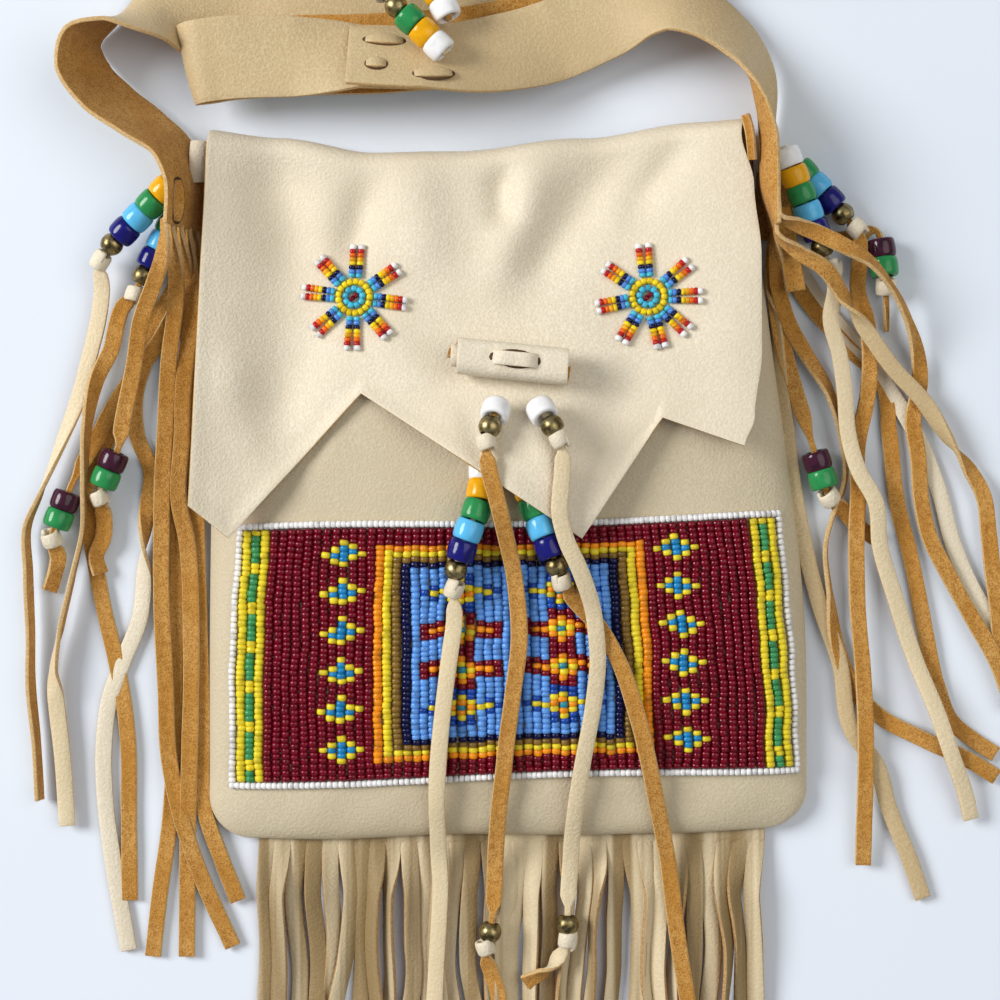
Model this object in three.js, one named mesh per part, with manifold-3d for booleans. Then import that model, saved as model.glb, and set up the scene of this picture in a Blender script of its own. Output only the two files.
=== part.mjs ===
// Beaded fringe shoulder bag, lying on its back on a table. Millimetres, +Z up.
// +X is the bag's right, +Y runs towards the strap, and the back panel lies on z = 0.
import * as THREE from 'three';
import { mergeVertices } from 'three/addons/utils/BufferGeometryUtils.js';
import Module from 'manifold-3d';

// Hide and clearances
const LEATHER = 1.2;
const GAP = 0.3;

// Pouch: flat back, puffed front, open mouth under the flap
const POUCH_TOP_WIDTH = 146;
const POUCH_BOTTOM_WIDTH = 160;
const POUCH_TOP_LEAN = -5;
const POUCH_HEIGHT = 189;
const POUCH_BOTTOM_Y = -91;
const POUCH_FULL_Y = -50;
const POUCH_SIDE_STEPS = 8;
const POUCH_CORNER = 11;
const POUCH_LOFT = 11.5;
const MOUTH_DROP = 14;
const MOUTH_LOFT_SHARE = 0.6;

// Flap: folded over from the back, with three points along its lower edge
const FLAP_TOP_WIDTH = 143;
const FLAP_BOTTOM_WIDTH = 152;
const FLAP_CENTRE_X = -8;
const FLAP_FOLD_REACH = 5;
const FLAP_DROOP_SHARE = 0.22;
const FLAP_SIDE_LENGTH = 97;
const FLAP_LEFT_POINT = [-64, 107];
const FLAP_LEFT_NOTCH = [-30, 69];
const FLAP_CENTRE_POINT = [28, 107];
const FLAP_RIGHT_NOTCH = [50, 75];
const FLAP_RIGHT_LENGTH = 84;
const FLAP_LIFT = 10.5;
const FLAP_LIFT_REACH = 28;
const FLAP_LIFT_AT = [2, 2];

// Beadwork: strands of seed beads sewn down side by side
const SEED_WIDTH = 2.38;
const SEED_HEIGHT = 1.9;
const PANEL_CORNERS = [[-72.8, -7.6], [73.8, -3.8], [-73.6, -77.4], [77.6, -73.4]];
const PANEL_STRANDS = 62;
const PANEL_ROWS = 9;
const PANEL_SEAT = 0.7;
const STRAND_GROOVE = 0.9;
const ROSETTE_X = [-40.4, 38.5];
const ROSETTE_Y = 54.5;
const ROSETTE_RADIUS = 14;
const ROSETTE_HUB_RADIUS = 5.4;
const ROSETTE_RAYS = 8;
const ROSETTE_WAIST = 0.85;

// Toggle: a strip of hide rolled up and sewn to the flap with lace
const TOGGLE_LENGTH = 33;
const TOGGLE_WIDTH = 10.4;
const TOGGLE_CENTRE = [1.2, 37.2];
const TOGGLE_TURN = -6;
const TOGGLE_ROLL_TURNS = 1.9;
const TOGGLE_ROLL_PITCH = 1.55;
const TOGGLE_STITCH_SPAN = 12;

// Lace, strips, strap and beads
const LACE_WIDTH = 4.4;
const LACE_NECK = 1.6;
const KNOT_RADIUS = 2.9;
const STRAP_WIDTH = 22;
const STITCH_WIDTH = 3.4;
const PONY_DIAMETER = 7.8;
const PONY_LENGTH = 5.2;
const BRONZE_DIAMETER = 6.2;
const BEAD_BORE = 3.8;
const BEAD_SIDES = 8;
const FRINGE_STRIPS = 30;
const FRINGE_WIDTH = 138;
const FRINGE_LENGTH = 100;
const FRINGE_CENTRE_X = 2;
const FRINGE_CUT = 0.7;
const FRINGE_SEAM_DEPTH = 4;

// Heights worked out from the sizes above
const TOP_Y = POUCH_BOTTOM_Y + POUCH_HEIGHT;
const MOUTH_Y = TOP_Y - MOUTH_DROP;
const SIDE_SEAM_Z = LEATHER + GAP;
const BOTTOM_SEAM_Z = 2 * (LEATHER + GAP);
const SEAM_RISE = 18;
const FOLD_Y = TOP_Y - FLAP_FOLD_REACH;

const HIDE = finish(0xe2cfa6, 0.62);
const SUEDE = finish(0xb5854a, 0.95);
const BEAD_FINISH = {
  white: finish(0xf3f3f0, 0.25),
  yellow: finish(0xf0b20c, 0.25),
  green: finish(0x2f9a58, 0.25),
  light_blue: finish(0x63bdf0, 0.25),
  dark_blue: finish(0x17176c, 0.2),
  purple: finish(0x46202f, 0.2),
  bronze: finish(0x7a6c45, 0.35, 0.9),
  mixed: finish(0x3d7fb4, 0.25),
};
const BEADWORK = finish(0x8a1230, 0.3);
const ROSETTE_BEADS = finish(0xe08a24, 0.3);

const { Manifold, Mesh: SolidMesh } = await loadSolids();
const bag = new THREE.Group();
const up = new THREE.Vector3(0, 0, 1);

async function loadSolids() {
  const library = await Module();
  library.setup();
  return library;
}

function finish(color, roughness, metalness = 0) {
  return new THREE.MeshStandardMaterial({ color, roughness, metalness });
}

// Solids: to the boolean library and back
function solid(geometry) {
  const bare = geometry.clone();
  bare.deleteAttribute('normal');
  bare.deleteAttribute('uv');
  const merged = mergeVertices(bare, 1e-4);
  const vertProperties = new Float32Array(merged.attributes.position.array);
  const triVerts = new Uint32Array(merged.index.array);
  return new Manifold(new SolidMesh({ numProp: 3, vertProperties, triVerts }));
}

function geometryOf(shape) {
  const { vertProperties, triVerts } = shape.getMesh();
  const geometry = new THREE.BufferGeometry();
  geometry.setAttribute('position', new THREE.BufferAttribute(new Float32Array(vertProperties), 3));
  geometry.setIndex(new THREE.BufferAttribute(new Uint32Array(triVerts), 1));
  return geometry;
}

function joined(geometries) {
  return geometryOf(geometries.map(solid).reduce((whole, next) => whole.add(next)));
}

function cut(geometry, ...tools) {
  return geometryOf(tools.reduce((left, tool) => left.subtract(solid(tool)), solid(geometry)));
}

function moved(geometry, place) {
  const at = geometry.attributes.position;
  const point = new THREE.Vector3();
  for (let i = 0; i < at.count; i += 1) {
    point.fromBufferAttribute(at, i);
    at.setXYZ(i, ...place(point).toArray());
  }
  return geometry;
}

function addPiece(name, geometry, material, parent = bag) {
  const mesh = new THREE.Mesh(geometry, material);
  mesh.name = name;
  parent.add(mesh);
  return mesh;
}

function polygon(points) {
  return new THREE.Shape(points.map(([x, y]) => new THREE.Vector2(x, y)));
}

function prism(shape, bottom, top) {
  const depth = top - bottom;
  return new THREE.ExtrudeGeometry(shape, { depth, bevelEnabled: false }).translate(0, 0, bottom);
}

// The pouch's outline and the form of its puffed front
function pouchShare(y) {
  return THREE.MathUtils.smoothstep(y, POUCH_FULL_Y, TOP_Y);
}

function pouchHalf(y) {
  return THREE.MathUtils.lerp(POUCH_BOTTOM_WIDTH, POUCH_TOP_WIDTH, pouchShare(y)) / 2;
}

function pouchCentre(y) {
  return POUCH_TOP_LEAN * pouchShare(y);
}

function across(x, y) {
  return THREE.MathUtils.clamp((x - pouchCentre(y)) / pouchHalf(y), -1, 1);
}

function frontCrown(y, side = 1) {
  const down = THREE.MathUtils.clamp((MOUTH_Y - y) / (MOUTH_Y - POUCH_BOTTOM_Y), 0, 1);
  const foot = Math.sqrt(1 - down ** 6);
  const rise = Math.sin((Math.PI / 2) * Math.min(1, down * 2));
  const mouth = MOUTH_LOFT_SHARE + (1 - MOUTH_LOFT_SHARE) * rise;
  const seamShare = 1 - THREE.MathUtils.smoothstep(y, POUCH_BOTTOM_Y, POUCH_BOTTOM_Y + SEAM_RISE);
  const seam = THREE.MathUtils.lerp(SIDE_SEAM_Z, BOTTOM_SEAM_Z, seamShare);
  return seam + POUCH_LOFT * side * foot * mouth;
}

function frontUnderside(x, y) {
  return frontCrown(y, Math.sqrt(1 - across(x, y) ** 4));
}

function frontTop(x, y) {
  return frontUnderside(x, y) + LEATHER;
}

function flapUnderside(x, y) {
  const droop = 1 - FLAP_DROOP_SHARE * across(x, y) ** 4;
  const [liftX, liftY] = FLAP_LIFT_AT;
  const away = ((x - liftX) ** 2 + (y - liftY) ** 2) / FLAP_LIFT_REACH ** 2;
  return GAP + (frontCrown(y) + LEATHER) * droop + FLAP_LIFT * Math.exp(-away);
}

function flapTop(x, y) {
  return flapUnderside(x, y) + LEATHER;
}

function pouchOutline(topY) {
  const edge = (side, y) => pouchCentre(y) + side * pouchHalf(y);
  const shape = new THREE.Shape();
  const footLeft = edge(-1, POUCH_BOTTOM_Y);
  const footRight = edge(1, POUCH_BOTTOM_Y);
  shape.moveTo(footLeft + POUCH_CORNER, POUCH_BOTTOM_Y);
  shape.lineTo(footRight - POUCH_CORNER, POUCH_BOTTOM_Y);
  shape.quadraticCurveTo(footRight, POUCH_BOTTOM_Y, footRight, POUCH_BOTTOM_Y + POUCH_CORNER);
  const climb = Array.from({ length: POUCH_SIDE_STEPS + 1 }, (_, i) => (
    THREE.MathUtils.lerp(POUCH_FULL_Y, topY, i / POUCH_SIDE_STEPS)));
  climb.forEach((y) => shape.lineTo(edge(1, y), y));
  climb.reverse().forEach((y) => shape.lineTo(edge(-1, y), y));
  shape.lineTo(footLeft, POUCH_BOTTOM_Y + POUCH_CORNER);
  shape.quadraticCurveTo(footLeft, POUCH_BOTTOM_Y, footLeft + POUCH_CORNER, POUCH_BOTTOM_Y);
  return shape;
}

function prismOfOutline(shape, bottom, top) {
  const settings = { depth: top - bottom, bevelEnabled: false, curveSegments: 3 };
  return new THREE.ExtrudeGeometry(shape, settings).translate(0, 0, bottom);
}

const FRONT_COLUMNS = 24;
const FRONT_ROWS = 18;
const CLEAR_OF_ALL = 200;

function frontPanel() {
  const length = MOUTH_Y - POUCH_BOTTOM_Y;
  const sheet = new THREE.BoxGeometry(2, 1, LEATHER, FRONT_COLUMNS, FRONT_ROWS, 1);
  moved(sheet, (p) => {
    const share = Math.cos((Math.PI / 2) * (p.y + 0.5));
    const y = POUCH_BOTTOM_Y + length * (1 - share);
    const x = pouchCentre(y) + pouchHalf(y) * Math.sin((Math.PI / 2) * p.x);
    return new THREE.Vector3(x, y, frontUnderside(x, y) + p.z + LEATHER / 2);
  });
  const inside = prismOfOutline(pouchOutline(TOP_Y), -CLEAR_OF_ALL, CLEAR_OF_ALL);
  return geometryOf(solid(sheet).intersect(solid(inside)));
}

const FOLD_STEPS = 6;
const ROOT_SHARE = 0.8;
const FLAP_ROWS = 15;
const FLAP_COLUMNS = 14;

// The flap as a sheet: up round the fold, then down over the front.
function flapSheet() {
  const run = FLAP_CENTRE_POINT[1];
  const steps = FOLD_STEPS + FLAP_ROWS;
  const sheet = new THREE.BoxGeometry(1, steps, LEATHER, FLAP_COLUMNS, steps, 1);
  return moved(sheet, (p) => {
    const step = p.y + steps / 2;
    const down = Math.max(0, (step - FOLD_STEPS) / FLAP_ROWS);
    const y = FOLD_Y - down * (run - FLAP_FOLD_REACH + GAP);
    const wide = THREE.MathUtils.lerp(FLAP_TOP_WIDTH, FLAP_BOTTOM_WIDTH, down);
    const x = FLAP_CENTRE_X - p.x * wide;
    if (step > FOLD_STEPS) {
      return new THREE.Vector3(x, y, flapUnderside(x, y) + LEATHER / 2 + p.z);
    }
    const turn = Math.PI * (step / FOLD_STEPS - 0.5);
    const level = THREE.MathUtils.smoothstep(step, 1, FOLD_STEPS);
    const fullRise = flapUnderside(FLAP_CENTRE_X, FOLD_Y) / 2;
    const rise = THREE.MathUtils.lerp(fullRise, flapUnderside(x, FOLD_Y) / 2, level);
    const thick = step === 0 ? ROOT_SHARE * p.z : p.z;
    const out = FLAP_FOLD_REACH - LEATHER / 2 + thick;
    return new THREE.Vector3(
      x,
      FOLD_Y + out * Math.cos(turn),
      LEATHER / 2 + rise + (rise + thick) * Math.sin(turn),
    );
  });
}

function flapCutOff() {
  const below = TOP_Y - CLEAR_OF_ALL;
  const left = FLAP_CENTRE_X - FLAP_BOTTOM_WIDTH;
  const right = FLAP_CENTRE_X + FLAP_BOTTOM_WIDTH;
  const side = FLAP_CENTRE_X - FLAP_BOTTOM_WIDTH / 2;
  const edge = [
    [left, FLAP_SIDE_LENGTH],
    [side, FLAP_SIDE_LENGTH],
    [FLAP_CENTRE_X + FLAP_LEFT_POINT[0], FLAP_LEFT_POINT[1]],
    [FLAP_CENTRE_X + FLAP_LEFT_NOTCH[0], FLAP_LEFT_NOTCH[1]],
    [FLAP_CENTRE_X + FLAP_CENTRE_POINT[0], FLAP_CENTRE_POINT[1]],
    [FLAP_CENTRE_X + FLAP_RIGHT_NOTCH[0], FLAP_RIGHT_NOTCH[1]],
    [FLAP_CENTRE_X + FLAP_BOTTOM_WIDTH / 2, FLAP_RIGHT_LENGTH],
    [right, FLAP_RIGHT_LENGTH],
  ].map(([x, drop]) => [x, TOP_Y - drop]);
  return prism(polygon([[left, below], ...edge, [right, below]].reverse()), BOTTOM_SEAM_Z, CLEAR_OF_ALL);
}

// The stitch that holds the toggle runs through two slots.
function stitchSlots() {
  const slot = new THREE.BoxGeometry(LEATHER + 2 * GAP, STITCH_WIDTH + 2 * GAP, CLEAR_OF_ALL);
  return [-1, 1].map((side) => slot.clone()
    .translate((side * (TOGGLE_STITCH_SPAN - LEATHER)) / 2, 0, BOTTOM_SEAM_Z + CLEAR_OF_ALL / 2)
    .rotateZ(THREE.MathUtils.degToRad(TOGGLE_TURN))
    .translate(...TOGGLE_CENTRE, 0));
}

function backAndFlap() {
  const back = prismOfOutline(pouchOutline(FOLD_Y + GAP), 0, LEATHER);
  const flap = cut(flapSheet(), flapCutOff(), ...stitchSlots());
  return joined([back, flap]);
}

// The strands lie side by side between four corners as one slab with a rib for each, bent to lie on the front
function beadworkPanel() {
  const [topLeft, topRight, lowLeft, lowRight] = PANEL_CORNERS.map(([x, y]) => new THREE.Vector3(x, y, 0));
  const slab = new THREE.BoxGeometry(1, 1, SEED_HEIGHT, 2 * PANEL_STRANDS, PANEL_ROWS, 1);
  return moved(slab, (p) => {
    const high = topLeft.clone().lerp(topRight, p.x + 0.5);
    const at = lowLeft.clone().lerp(lowRight, p.x + 0.5).lerp(high, p.y + 0.5);
    const betweenStrands = Math.round((p.x + 0.5) * 2 * PANEL_STRANDS) % 2 === 0;
    const groove = p.z > 0 && betweenStrands ? STRAND_GROOVE : 0;
    return at.setZ(frontTop(at.x, at.y) + PANEL_SEAT + SEED_HEIGHT / 2 + p.z - groove);
  });
}

// A hub with double-strand rays, bent to lie on the flap
function rosette(centreX) {
  const outline = [];
  for (let ray = 0; ray < ROSETTE_RAYS; ray += 1) {
    const angle = (ray * 2 * Math.PI) / ROSETTE_RAYS;
    const along = new THREE.Vector2(Math.cos(angle), Math.sin(angle));
    const aside = new THREE.Vector2(-along.y, along.x);
    const [near, tip] = [ROSETTE_HUB_RADIUS, ROSETTE_RADIUS];
    for (const [far, side] of [[near, -1], [tip, -1], [tip, 1], [near, 1]]) {
      const half = side * (far === tip ? SEED_WIDTH : ROSETTE_WAIST * SEED_WIDTH);
      outline.push([along.x * far + aside.x * half, along.y * far + aside.y * half]);
    }
  }
  const star = prism(polygon(outline), 0, SEED_HEIGHT).translate(centreX, ROSETTE_Y, 0);
  return moved(star, (p) => new THREE.Vector3(p.x, p.y, p.z + flapTop(p.x, p.y) + 1.5 * GAP));
}

// Toggle: the section is a flattened spiral of hide
function togglePlace(geometry) {
  return geometry.rotateZ(THREE.MathUtils.degToRad(TOGGLE_TURN)).translate(...TOGGLE_CENTRE, 0);
}

function toggleBase() {
  const half = TOGGLE_LENGTH / 2;
  const corners = [-half, 0, half].flatMap((x) => [-1, 0, 1].map((side) => [x, (side * TOGGLE_WIDTH) / 2]));
  const [centreX, centreY] = TOGGLE_CENTRE;
  return Math.max(...corners.map(([x, y]) => flapTop(centreX + x, centreY + y))) + GAP;
}

function toggleHeight() {
  return 2 * (TOGGLE_ROLL_PITCH * TOGGLE_ROLL_TURNS + LEATHER / 2);
}

function toggle() {
  const height = toggleHeight();
  const flatten = TOGGLE_WIDTH / height;
  const steps = 26;
  const wall = (offset) => Array.from({ length: steps + 1 }, (_, i) => {
    const turn = TOGGLE_ROLL_TURNS * (i / steps);
    const radius = TOGGLE_ROLL_PITCH * turn + offset;
    const angle = 2 * Math.PI * (turn - TOGGLE_ROLL_TURNS) - Math.PI / 2;
    return [flatten * radius * Math.cos(angle), radius * Math.sin(angle)];
  });
  const inner = TOGGLE_ROLL_PITCH - LEATHER;
  const section = [...wall(inner + LEATHER), ...wall(inner).reverse()];
  const roll = new THREE.ExtrudeGeometry(polygon(section), { depth: TOGGLE_LENGTH, bevelEnabled: false });
  roll.translate(0, 0, -TOGGLE_LENGTH / 2).rotateX(Math.PI / 2).rotateZ(Math.PI / 2);
  roll.computeBoundingBox();
  roll.translate(0, 0, toggleBase() - roll.boundingBox.min.z);
  return cut(togglePlace(roll), ...stitchSlots());
}

function toggleLace(toggleMesh) {
  toggleMesh.geometry.computeBoundingBox();
  const top = toggleMesh.geometry.boundingBox.max.z + GAP;
  const foot = flapUnderside(...TOGGLE_CENTRE) + LEATHER / 2;
  const half = TOGGLE_STITCH_SPAN / 2;
  const staple = polygon([[-half, foot], [-half, top + LEATHER], [half, top + LEATHER], [half, foot],
    [half - LEATHER, foot], [half - LEATHER, top], [LEATHER - half, top], [LEATHER - half, foot]].reverse());
  const lace = new THREE.ExtrudeGeometry(staple, { depth: STITCH_WIDTH, bevelEnabled: false });
  return togglePlace(lace.translate(0, 0, -STITCH_WIDTH / 2).rotateX(Math.PI / 2));
}

// Ribbons: a strip of hide that follows rows of [x, y, z, turn, what sits there].
// The turn is in degrees about the strip, 0 with its smooth face up and 180 with its suede up.
function framesAlong(rows) {
  const curve = new THREE.CatmullRomCurve3(rows.map(([x, y, z]) => new THREE.Vector3(x, y, z)));
  const frames = [];
  rows.forEach((row, i) => {
    const at = curve.points[i];
    const along = curve.getTangent(i / (rows.length - 1));
    const last = frames[i - 1];
    const side = last ? last.plain.clone() : up.clone().cross(along);
    side.addScaledVector(along, -side.dot(along)).normalize();
    const turned = side.clone().applyAxisAngle(along, THREE.MathUtils.degToRad(row[3]));
    frames.push({ at, along, plain: side, side: turned, normal: along.clone().cross(turned) });
  });
  return frames;
}

function ribbon(rows, width) {
  const frames = framesAlong(rows);
  const strip = new THREE.BoxGeometry(1, LEATHER, rows.length - 1, 1, 1, rows.length - 1);
  return moved(strip, (p) => {
    const i = Math.round(p.z + (rows.length - 1) / 2);
    const wide = rows[i][4] ? LACE_NECK : width;
    return frames[i].at.clone()
      .addScaledVector(frames[i].side, p.x * wide)
      .addScaledVector(frames[i].normal, p.y);
  });
}

// Everything on a strip turns with the strip
function standingOn(rows, i, geometry) {
  const { at, along, side, normal } = framesAlong(rows)[i];
  return geometry.applyMatrix4(new THREE.Matrix4().makeBasis(side, along, normal.negate()).setPosition(at));
}

function knotted(rows, width) {
  const pieces = [ribbon(rows, width)];
  rows.forEach((row, i) => {
    if (row[4] === 'knot') {
      pieces.push(standingOn(rows, i, new THREE.SphereGeometry(KNOT_RADIUS, BEAD_SIDES, 6)));
    }
  });
  return joined(pieces);
}

function beadProfile(kind, middle) {
  const bore = BEAD_BORE / 2;
  if (kind === 'bronze') {
    const radius = BRONZE_DIAMETER / 2;
    const half = Math.sqrt(radius ** 2 - bore ** 2);
    return [-half, -half / 2, half / 2, half].map((at) => [Math.sqrt(radius ** 2 - at ** 2), middle + at]);
  }
  const radius = PONY_DIAMETER / 2;
  const half = PONY_LENGTH / 2;
  const barrel = [[-1, 0.72], [-0.45, 1], [0.45, 1], [1, 0.72]];
  return barrel.map(([at, out]) => [radius * out, middle + half * at]);
}

function beadLength(kind) {
  return kind === 'bronze' ? Math.sqrt(BRONZE_DIAMETER ** 2 - BEAD_BORE ** 2) : PONY_LENGTH;
}

// A turned ring, or several in a row with one bore through them all
function beads(kinds) {
  const whole = kinds.reduce((sum, kind) => sum + beadLength(kind), 0);
  const outside = [];
  let end = -whole / 2;
  for (const kind of kinds) {
    const middle = end + beadLength(kind) / 2;
    outside.push(...beadProfile(kind, middle).slice(outside.length ? 1 : 0));
    end += beadLength(kind);
  }
  const bore = BEAD_BORE / 2;
  const inside = [[bore, whole / 2], [bore, -whole / 2]];
  const ring = [...outside, ...inside, outside[0]];
  const profile = ring.map(([x, y]) => new THREE.Vector2(Math.max(x, bore), y));
  const distinct = profile.filter((p, i) => i === 0 || p.distanceTo(profile[i - 1]) > 1e-4);
  return new THREE.LatheGeometry(distinct, BEAD_SIDES);
}

function addBeads(rows, names) {
  rows.forEach((row, i) => {
    if (BEAD_FINISH[row[4]]) {
      const name = names(row[4], i);
      addPiece(name, standingOn(rows, i, beads([row[4]])), BEAD_FINISH[row[4]]);
    }
  });
}

// Bottom fringe: one strip of hide in the bottom seam, cut into strips that wave and turn
const FRINGE_STEPS = 5;
const FRINGE_TURN = 24;
const FRINGE_SWAY = 1.3;

function fringeRows(i) {
  const pitch = FRINGE_WIDTH / FRINGE_STRIPS;
  const x = FRINGE_CENTRE_X - FRINGE_WIDTH / 2 + (i + 0.5) * pitch;
  const root = POUCH_BOTTOM_Y + FRINGE_SEAM_DEPTH * (0.5 + 0.2 * Math.sin(1.9 * i));
  const rows = [[x, root, SIDE_SEAM_Z + LEATHER / 2, 0]];
  for (let step = 0; step <= FRINGE_STEPS; step += 1) {
    const share = step / FRINGE_STEPS;
    const sway = FRINGE_SWAY * share * Math.sin(1.7 * i + 4 * share);
    const lie = THREE.MathUtils.lerp(SIDE_SEAM_Z, GAP, share);
    const turn = step ? FRINGE_TURN * Math.sin(2.3 * i + 3 * share) : 0;
    const rise = (LACE_WIDTH / 2) * Math.abs(Math.sin(THREE.MathUtils.degToRad(turn)));
    rows.push([x + sway, POUCH_BOTTOM_Y - GAP - share * FRINGE_LENGTH, lie + LEATHER / 2 + rise, turn]);
  }
  return rows;
}

function bottomFringe() {
  const header = new THREE.BoxGeometry(FRINGE_WIDTH, FRINGE_SEAM_DEPTH, ROOT_SHARE * LEATHER)
    .translate(FRINGE_CENTRE_X, POUCH_BOTTOM_Y + FRINGE_SEAM_DEPTH / 2, SIDE_SEAM_Z + LEATHER / 2);
  const wide = FRINGE_WIDTH / FRINGE_STRIPS - FRINGE_CUT;
  const strips = Array.from({ length: FRINGE_STRIPS }, (_, i) => ribbon(fringeRows(i), wide));
  return joined([header, ...strips]);
}

// The strap in two halves, laced where they overlap, each with its end cut into tails
const STRAP_LEFT = [
  [-86.5, 70, 11.9, -115], [-86.5, 86, 11.9, -115], [-90, 95, 11.7, -118], [-98, 101.5, 11.5, -122],
  [-107.5, 108.5, 10.8, -125], [-114, 117, 10.8, -122], [-114, 124.5, 11.2, -108], [-106.5, 129, 11.7, -90],
  [-97, 131, 10.5, -55], [-89, 131.5, 5.7, -22], [-78, 131.8, 2.1, -5], [-56, 132, 1, 0], [-30, 134, 1, 0],
  [0, 142.5, 1, 0], [32, 151.5, 1, 0], [70, 160, 1, 0], [100, 163.5, 1, 0], [108, 164.5, 1.2, 0],
  [113, 165, 2.6, 0], [115, 165.2, 5, 0], [113, 165, 7.4, 0], [107, 164.4, 7.8, 0], [82, 160, 5.6, 0],
  [54, 150.5, 3.6, 0], [26, 135, 4.6, 0], [0, 125.2, 5.4, 0], [-30, 121.6, 6, 0], [-58, 120.6, 6.2, 0],
  [-75, 119.4, 6.7, 0], [-82.6, 118, 7.6, 0], [-85.8, 117.4, 9.8, 0], [-84, 117.6, 12.6, 0],
  [-77, 118.5, 13.6, 0], [-57, 119, 13.4, -8], [-39, 119.2, 13.4, -37], [-20, 119, 12.8, -36],
];
const STRAP_RIGHT = [
  [-41, 118.8, 17.4, -38], [-22, 118.2, 16.8, -36], [-1, 120.2, 12, -15], [15, 124.6, 8.6, 0],
  [28.5, 130.5, 9.4, -8], [38, 134.4, 12, -24], [46, 134.4, 13.4, -42], [55, 130.6, 13.2, -54],
  [64.5, 123.4, 12.4, -62], [70.6, 114.6, 12.2, -74], [73, 105.8, 12.4, -88], [73.6, 97, 12.6, -98],
  [73.6, 86, 12.8, -100], [73.6, 70, 12.8, -100],
];
const TAILS_LEFT = [
  [[-89, 74, 17, 180], [-90, 68, 15, 180], [-94.2, 58.8, 12, 180], [-98.9, 47.6, 8, 180],
    [-100.8, 37.7, 5, 180], [-104.1, 21.1, 5, 180], [-104.9, 14.8, 6, 180, 'neck'],
    [-107.5, 8.3, 6.2, 180, 'pair'], [-110.4, 0, 5, 180, 'knot'], [-109.4, -4.5, 3.6, 180],
    [-109.8, -10.9, 3.2, 180], [-111.7, -15.3, 3.2, 150], [-110.4, -20.2, 3.2, 150]],
  [[-85, 74, 9, 180], [-86, 68, 6, 180], [-87.5, 58, 4, 180], [-93, 46, 2.4, 180],
    [-104.9, 29, 2.2, 180], [-112.8, 14.5, 2.2, 180], [-117.5, 5.4, 4.6, 180, 'neck'],
    [-120.4, -2.7, 6, 180, 'pair'], [-123.3, -11.3, 4.8, 180, 'knot'], [-122, -15.5, 3, 180],
    [-122.9, -19.5, 2.2, 150], [-124.6, -24.9, 2.2, 150]],
  [[-88, 74, 14, 180], [-88.2, 67, 12, 180], [-89, 57.4, 8, 180], [-91.5, 37.7, 4.5, 180],
    [-92.9, 17.8, 3.2, 180], [-93.7, -1.6, 3.2, 180], [-93.7, -29, 3.2, 180], [-92.6, -51.7, 3.2, 180],
    [-91.8, -69.7, 3.2, 180], [-88.5, -86.2, 3.2, 180], [-83.6, -101.5, 2.2, 180], [-74.5, -122.3, 1.4, 180]],
  [[-84, 74, 7, 180], [-84.2, 66, 5, 180], [-85.5, 50.9, 3.8, 180], [-87.7, 31.2, 3.8, 180],
    [-88.2, 16.4, 3.8, 180], [-89, 0, 3.8, 180], [-86.8, -10.9, 3.8, 180], [-85.7, -29, 3.8, 180],
    [-85.7, -56.1, 3.8, 180], [-86.3, -78.8, 3.6, 180], [-86.8, -97.1, 2, 180], [-87.1, -125, 1.4, 180]],
  [[-83, 74, 4.5, 180], [-83.2, 66, 3.4, 180], [-84.2, 46.5, 2.6, 180], [-84.6, 13.7, 2.2, 180],
    [-84, -16.4, 2.2, 180], [-83.5, -34.5, 2.2, 180], [-83, -47, 2.2, 180], [-82.8, -65.1, 2.2, 180],
    [-82.3, -83.4, 2.2, 180], [-77, -99.6, 2, 180], [-73, -109.7, 1.8, 180]],
];
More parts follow.
